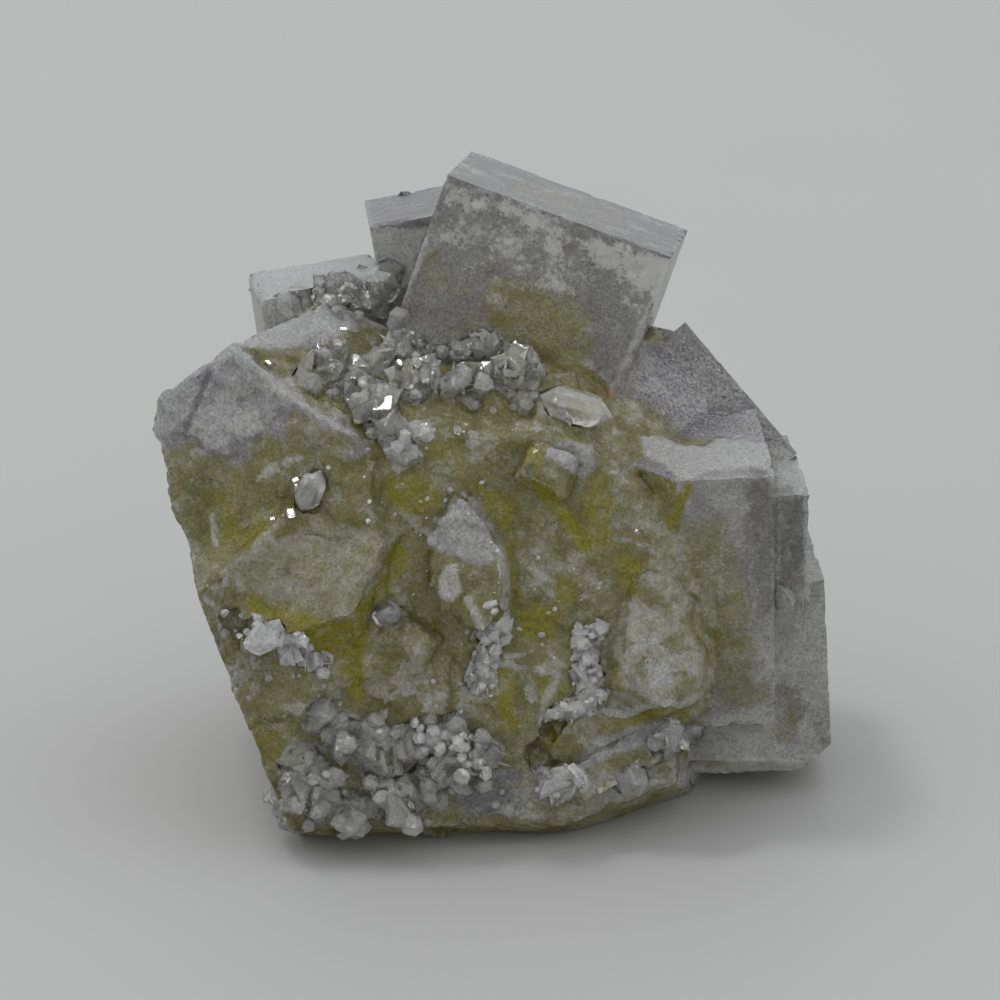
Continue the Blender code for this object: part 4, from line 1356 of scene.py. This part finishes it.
@dataclass
class QuartzCrust:
    """One crust or crystal of the frame, pressed on to what carries it, with its share of small crystals.

    Attributes:
        node: Name of the frame's node.
        young: Number of small crystals on it.
        clarity: How clear its quartz is.
        young_size: Least and greatest radius of these.
        wear: How far its edges are rounded, as rounds of smoothing.
        facets: Height of the crystal facets on it.
        facet_size: Size of these.
        height: Share that it keeps of its height over the fluorite.
        sink: How far it is pressed in.
        edge_length: Longest triangle edge.
        bare: Outline in frame points where no crust shows.
        bare_depth: How far the crust goes back into the fluorite there.
        deepest: Most that it ends up below the surface.
    """

    node: str
    young: int = 60
    clarity: Clarity = Clarity.GLASSY
    young_size: tuple[float, float] = (0.45, 1.15)
    wear: int = 2
    facets: float = 0.1
    facet_size: float = 1.4
    height: float = 0.75
    sink: float = 0.3
    edge_length: float = 0.2
    bare: tuple[Spot, ...] = ()
    bare_depth: float = 4.0
    deepest: float = 0.3

    def press(self, bm: bmesh.types.BMesh, body: "Sight") -> None:
        """Lowers the crust towards the fluorite, unevenly, so that it breaks up into islands.

        Args:
            bm: The mesh, in millimetres.
            body: The fluorite alone.
        """
        places = np.array([vert.co for vert in bm.verts])
        sinks = self.sink * (1.0 + 2.4 * noise_at(places, 1.5, 23.0, 2))
        cleared = np.zeros(len(places))
        if self.bare:
            cleared = Patch(Zone.FROST_AND_LIGHT, self.bare, edge=2.0).mask(VIEW.project(places), cleared)
        away = -Vector(VIEW.axes()[2])
        for vert, sink, share in zip(bm.verts, sinks, cleared):
            foot, normal, _, _ = body.tree.find_nearest(vert.co * MM)
            rise = (vert.co - foot / MM).dot(normal)
            if rise > 0.0:
                vert.co -= normal * (rise - max(rise * self.height - float(sink), -self.deepest))
            vert.co += away * (float(share) * self.bare_depth)

    def build(self, body: "Sight", finish: bpy.types.Material) -> bpy.types.Object:
        """Makes the piece.

        Args:
            body: The fluorite alone.
            finish: Its quartz.

        Returns:
            The piece.
        """
        rng = random.Random(self.node)
        bm = bmesh_of_node(self.node)
        split_long_edges(bm, self.edge_length)
        bmesh.ops.remove_doubles(bm, verts=bm.verts, dist=self.edge_length * 0.25)
        for _ in range(self.wear):
            bmesh.ops.smooth_vert(bm, verts=bm.verts, factor=0.5, **ONE_AXIS_EACH)
        bm.normal_update()
        self.press(bm, body)
        places = np.array([vert.co for vert in bm.verts])
        growth, milk = facets_at(places, self.facet_size, 9.0)
        layer = bm.verts.layers.float.new(MILK)
        for vert, height, milky in zip(bm.verts, growth * self.facets, milk):
            vert.co += vert.normal * float(height)
            vert[layer] = float(milky)
        bm.normal_update()
        towards = Vector(VIEW.axes()[2])
        faces = [
            face for face in bm.faces
            if face.normal.dot(towards) > SEAT_TURN
            and face.calc_area() > SEAT_AREA
            and body.height_of(face.calc_center_median()) > SEAT_HEIGHT
        ]
        seats = rng.sample(faces, min(self.young, len(faces)))
        spots = [(face.calc_center_median().copy(), face.normal.copy()) for face in seats]
        for root, normal in spots:
            radius = rng.triangular(self.young_size[0] * 0.4, self.young_size[1], self.young_size[0])
            lean = Vector((rng.uniform(-0.8, 0.8), rng.uniform(-0.8, 0.6), rng.uniform(-0.6, 0.8)))
            length = radius * rng.uniform(0.7, 1.7)
            plant(bm, root - normal * radius * 0.7, normal + lean * 0.7, radius, length, rng)
        piece = finish_piece(bm, self.node + "_crystals", 16.0, finish)
        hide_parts(self.node)
        return piece


@dataclass
class DruseField:
    """Loose-set small quartz crystals in one area of the front.

    Attributes:
        name: Name of the piece.
        outline: Corners of the area, in frame points.
        count: How many crystals are set.
        sizes: Least and greatest radius.
        seed: Of its random draws.
        clarity: How clear their quartz is.
    """

    name: str
    outline: tuple[Spot, ...]
    count: int
    sizes: tuple[float, float]
    seed: int
    clarity: Clarity = Clarity.GLASSY

    def spots(self, rng: random.Random) -> list[Spot]:
        """Draws places for the crystals.

        Args:
            rng: The field's random draws.

        Returns:
            Frame points inside the outline.
        """
        area = Patch(Zone.FROST_AND_LIGHT, self.outline, edge=1.0)
        columns = [corner[0] for corner in self.outline]
        rows = [corner[1] for corner in self.outline]
        low, high = (min(columns), min(rows)), (max(columns), max(rows))
        tries = [(rng.uniform(low[0], high[0]), rng.uniform(low[1], high[1])) for _ in range(self.count * 4)]
        inside = area.mask(np.array(tries), np.zeros(len(tries))) > 0.5
        return [spot for spot, kept in zip(tries, inside) if kept][: self.count]

    def build(self, sight: Sight, finish: bpy.types.Material) -> bpy.types.Object:
        """Makes the piece.

        Args:
            sight: The frame's surface as the main view meets it.
            finish: Its quartz.

        Returns:
            The piece.
        """
        rng = random.Random(self.seed)
        bm = bmesh.new()
        for spot in self.spots(rng):
            seat = sight.seat(spot)
            radius = rng.triangular(*self.sizes, self.sizes[0])
            if seat is None:
                continue
            place, normal = seat
            lean = Vector((rng.uniform(-0.8, 0.8), rng.uniform(-0.8, 0.5), rng.uniform(-0.6, 0.8)))
            length = radius * rng.uniform(0.6, 1.6)
            plant(bm, place - normal * radius * 0.5, normal + lean * 0.7, radius, length, rng)
        piece = finish_piece(bm, self.name, 26.0, finish)
        return piece


@dataclass(frozen=True)
class BrightFacet:
    """A thin crystal plate that lies so that it mirrors the lamp to the main view.

    Attributes:
        spot: Where it sits, in frame points.
        width: Of the plate.
        height: Of the plate.
        roll: Turn in its own plane, in degrees.
        thickness: Of the plate.
    """

    spot: Spot
    width: float
    height: float
    roll: float = 0.0
    thickness: float = 0.35

    def build(self, bm: bmesh.types.BMesh, sight: Sight, lamp: Vector) -> None:
        """Adds the plate to a mesh.

        Args:
            bm: The mesh, in millimetres.
            sight: The frame's surface as the main view meets it.
            lamp: The lamp's place, in millimetres.
        """
        seat = sight.seat(self.spot)
        if seat is None:
            return
        place = seat[0]
        to_eye = (Vector(VIEW.eye()) - place).normalized()
        facing = (to_eye + (lamp - place).normalized()).normalized()
        turn = facing.to_track_quat("Z", "Y").to_matrix().to_4x4()
        turn = turn @ Matrix.Rotation(math.radians(self.roll), 4, "Z")
        size = Matrix.Diagonal((self.width, self.height, self.thickness, 1.0))
        middle = Matrix.Translation(place + to_eye * self.thickness * 0.6)
        plate = bmesh.ops.create_cube(bm, size=1.0, matrix=middle @ turn @ size)["verts"]
        edges = list({edge for vert in plate for edge in vert.link_edges})
        bmesh.ops.bevel(bm, geom=edges, offset=0.07, affect="EDGES", segments=1, profile=0.5, material=-1)


FACETS: tuple[BrightFacet, ...] = (
    BrightFacet((384, 407), 1.3, 1.2, 12.0, 0.9),
    BrightFacet((506, 348), 1.8, 0.75, -14.0),
    BrightFacet((296, 481), 0.5, 0.45, 40.0),
    BrightFacet((291, 513), 0.55, 0.6, 20.0),
    BrightFacet((268, 676), 0.5, 0.7, 30.0),
    BrightFacet((273, 520), 0.4, 0.35, 10.0),
    BrightFacet((316, 356), 0.7, 0.4, 50.0),
    BrightFacet((344, 330), 0.6, 0.3, 5.0),
    BrightFacet((268, 363), 0.8, 0.3, -30.0),
    BrightFacet((424, 428), 0.7, 0.6, 15.0),
    BrightFacet((473, 677), 0.5, 0.5, 25.0),
    BrightFacet((487, 640), 0.6, 0.5, 60.0),
    BrightFacet((397, 362), 0.5, 0.3, 20.0),
    BrightFacet((637, 532), 0.3, 0.3, 10.0),
    BrightFacet((541, 770), 0.5, 0.4, 35.0),
    BrightFacet((557, 795), 0.4, 0.35, 5.0),
)


def build_bright_facets(sight: Sight, lamp: Vector, finish: bpy.types.Material) -> bpy.types.Object:
    """Makes the plates that catch the light, as one piece.

    Args:
        sight: The frame's surface as the main view meets it.
        lamp: The lamp's place, in millimetres.
        finish: Their quartz.

    Returns:
        The piece.
    """
    bm = bmesh.new()
    for facet in FACETS:
        facet.build(bm, sight, lamp)
    piece = finish_piece(bm, "bright_facets", 20.0, finish)
    return piece


CRUSTS: tuple[QuartzCrust, ...] = (
    QuartzCrust("upper_druse", 30, Clarity.STAINED, height=0.6, sink=0.3),
    QuartzCrust(
        "upper_left_quartz", 6, young_size=(0.6, 1.0), wear=1, height=0.95, sink=0.05, bare=((240, 240),
        (312, 240), (312, 345), (240, 345)),
    ),
    QuartzCrust("base_crust", 38, Clarity.STAINED, height=0.7),
    QuartzCrust(
        "front_vein", 12, Clarity.MILKY, (0.25, 0.6), facets=0.2, facet_size=0.8, height=0.6, bare=((520, 724),
        (600, 724), (596, 766), (520, 766)),
    ),
    QuartzCrust("centre_string", 6, Clarity.MILKY, (0.25, 0.6), facets=0.2, facet_size=0.8, height=0.6),
    QuartzCrust(
        "left_string", 6, Clarity.MILKY, (0.2, 0.5), facets=0.2, facet_size=0.8, height=0.55, sink=0.35,
        bare=((205, 590), (250, 590), (250, 655), (205, 655)),
    ),
    QuartzCrust("pitted_quartz", 7, young_size=(0.3, 0.6)),
    QuartzCrust("lying_quartz", 1, Clarity.STAINED, wear=1, facets=0.06, height=1.0, sink=0.0),
    QuartzCrust("rounded_quartz", 2, wear=1, facets=0.06, height=1.0, sink=0.0),
    QuartzCrust("tabular_quartz", 1, wear=1, facets=0.06, height=1.0, sink=0.0),
    QuartzCrust("right_quartz", 1, wear=1, facets=0.06, height=1.0, sink=0.0),
    QuartzCrust("grey_quartz", 2, wear=1, facets=0.06, height=1.0, sink=0.0),
)
DRUSES: tuple[DruseField, ...] = (
    DruseField(
        "hollow_druse", ((290, 352), (330, 290), (390, 300), (400, 340), (480, 345), (540, 385), (600, 400), (600, 430),
        (540, 445), (430, 450), (380, 440), (330, 400)), 36, (0.3, 0.85), 41, Clarity.STAINED,
    ),
    DruseField(
        "front_druse", ((300, 455), (430, 440), (520, 500), (600, 560), (600, 720), (430, 720), (400, 560)), 60,
        (0.08, 0.3), 42, Clarity.MILKY,
    ),
    DruseField(
        "base_druse", ((265, 790), (290, 735), (420, 715), (500, 745), (520, 790), (690, 720), (700, 745), (640, 800),
        (420, 830), (290, 840)), 50, (0.25, 0.8), 43, Clarity.STAINED,
    ),
    DruseField(
        "lens_druse", ((484, 606), (506, 600), (514, 622), (502, 648), (490, 662), (488, 690), (470, 690), (474, 655)),
        22, (0.2, 0.65), 47, Clarity.MILKY,
    ),
    DruseField(
        "hollow_edge_druse", ((386, 446), (412, 420), (436, 422), (434, 440), (418, 460), (396, 474)), 14, (0.25, 0.7),
        48, Clarity.MILKY,
    ),
    DruseField(
        "column_druse", ((574, 664), (584, 636), (606, 632), (606, 690), (586, 706)), 18, (0.2, 0.6), 49,
        Clarity.MILKY,
    ),
    DruseField(
        "foot_druse", ((413, 723), (461, 729), (490, 756), (484, 774), (421, 756)), 26, (0.25, 0.7), 50, Clarity.MILKY,
    ),
    DruseField(
        "left_druse", ((215, 600), (290, 620), (345, 690), (330, 740), (240, 700)), 36, (0.12, 0.45), 44
    ),
    DruseField(
        "crest_druse", ((308, 285), (365, 262), (400, 300), (372, 350), (322, 348)), 18, (0.15, 0.6), 45
    ),
    DruseField(
        "cube_foot_druse", ((385, 300), (410, 330), (470, 345), (500, 350), (470, 365), (400, 350)), 30, (0.2, 0.7), 46,
    ),
)


@dataclass
class Studio:
    """The plain floor and the plain soft light.

    Attributes:
        floor_size: Width of the floor, in metres.
        sky: Brightness of the even light all round.
        key_power: Of the large soft lamp above, in watts.
        key_size: Its width, in metres.
        key_place: Where it hangs, in metres.
        bounces: Most bounces of a light path.
        surface_bounces: Most of these that may be off a dull surface, and as many off a shiny one.
    """

    floor_size: float = 12.0
    sky: float = 0.86
    key_power: float = 1.6
    key_size: float = 0.17
    key_place: tuple[float, float, float] = (-0.28, 0.1, 0.85)
    bounces: int = 4
    surface_bounces: int = 2
    finish: FloorFinish = field(default_factory=FloorFinish)

    def build_floor(self) -> bpy.types.Object:
        """Makes the floor, a large plain sheet."""
        bm = bmesh.new()
        bmesh.ops.create_grid(bm, x_segments=8, y_segments=8, size=self.floor_size / 2)
        mesh = bpy.data.meshes.new("floor")
        bm.to_mesh(mesh)
        bm.free()
        floor = bpy.data.objects.new("floor", mesh)
        bpy.context.scene.collection.objects.link(floor)
        mesh.materials.append(self.finish.build())
        return floor

    def build_lights(self) -> None:
        """Makes the soft lamp and the even light."""
        data = bpy.data.lights.new("soft_lamp", "AREA")
        data.shape = "DISK"
        data.size = self.key_size
        data.energy = self.key_power
        lamp = bpy.data.objects.new("soft_lamp", data)
        lamp.location = self.key_place
        lamp.rotation_euler = (-Vector(self.key_place)).to_track_quat("-Z", "Y").to_euler()
        bpy.context.scene.collection.objects.link(lamp)
        world = bpy.data.worlds.new("even_light")
        world.use_nodes = True
        world.node_tree.nodes["Background"].inputs["Color"].default_value = (0.97, 0.985, 1.0, 1.0)
        world.node_tree.nodes["Background"].inputs["Strength"].default_value = self.sky
        bpy.context.scene.world = world
        bpy.context.scene.view_settings.view_transform = "Standard"
        cycles = bpy.context.scene.cycles
        cycles.max_bounces = cycles.transmission_bounces = self.bounces
        cycles.diffuse_bounces = cycles.glossy_bounces = self.surface_bounces
        cycles.use_light_tree = False


def report(piece: bpy.types.Object) -> None:
    """Logs a finished piece."""
    LOG.info("%s: %d faces", piece.name, len(piece.data.polygons))


def main() -> None:
    """Builds the studio and every piece of the specimen, and reports each."""
    logging.basicConfig(level=logging.INFO, format="%(message)s")
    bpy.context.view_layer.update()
    noise.seed_set(NOISE_SEED)
    VIEW.build()
    studio = Studio()
    studio.build_floor()
    studio.build_lights()
    groups = Groups(grain_group(), powder_group(), flake_group())
    sight = Sight(sorted(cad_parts))
    body = Sight([CLUSTER])
    report(FluoriteCluster().build(body, groups))
    quartz = {finish.clarity: finish.build(groups) for finish in QUARTZES}
    for crust in CRUSTS:
        report(crust.build(body, quartz[crust.clarity]))
    for druse in DRUSES:
        report(druse.build(sight, quartz[druse.clarity]))
    report(build_bright_facets(sight, Vector(studio.key_place) / MM, quartz[Clarity.GLASSY]))


if __name__ == "__main__":
    main()
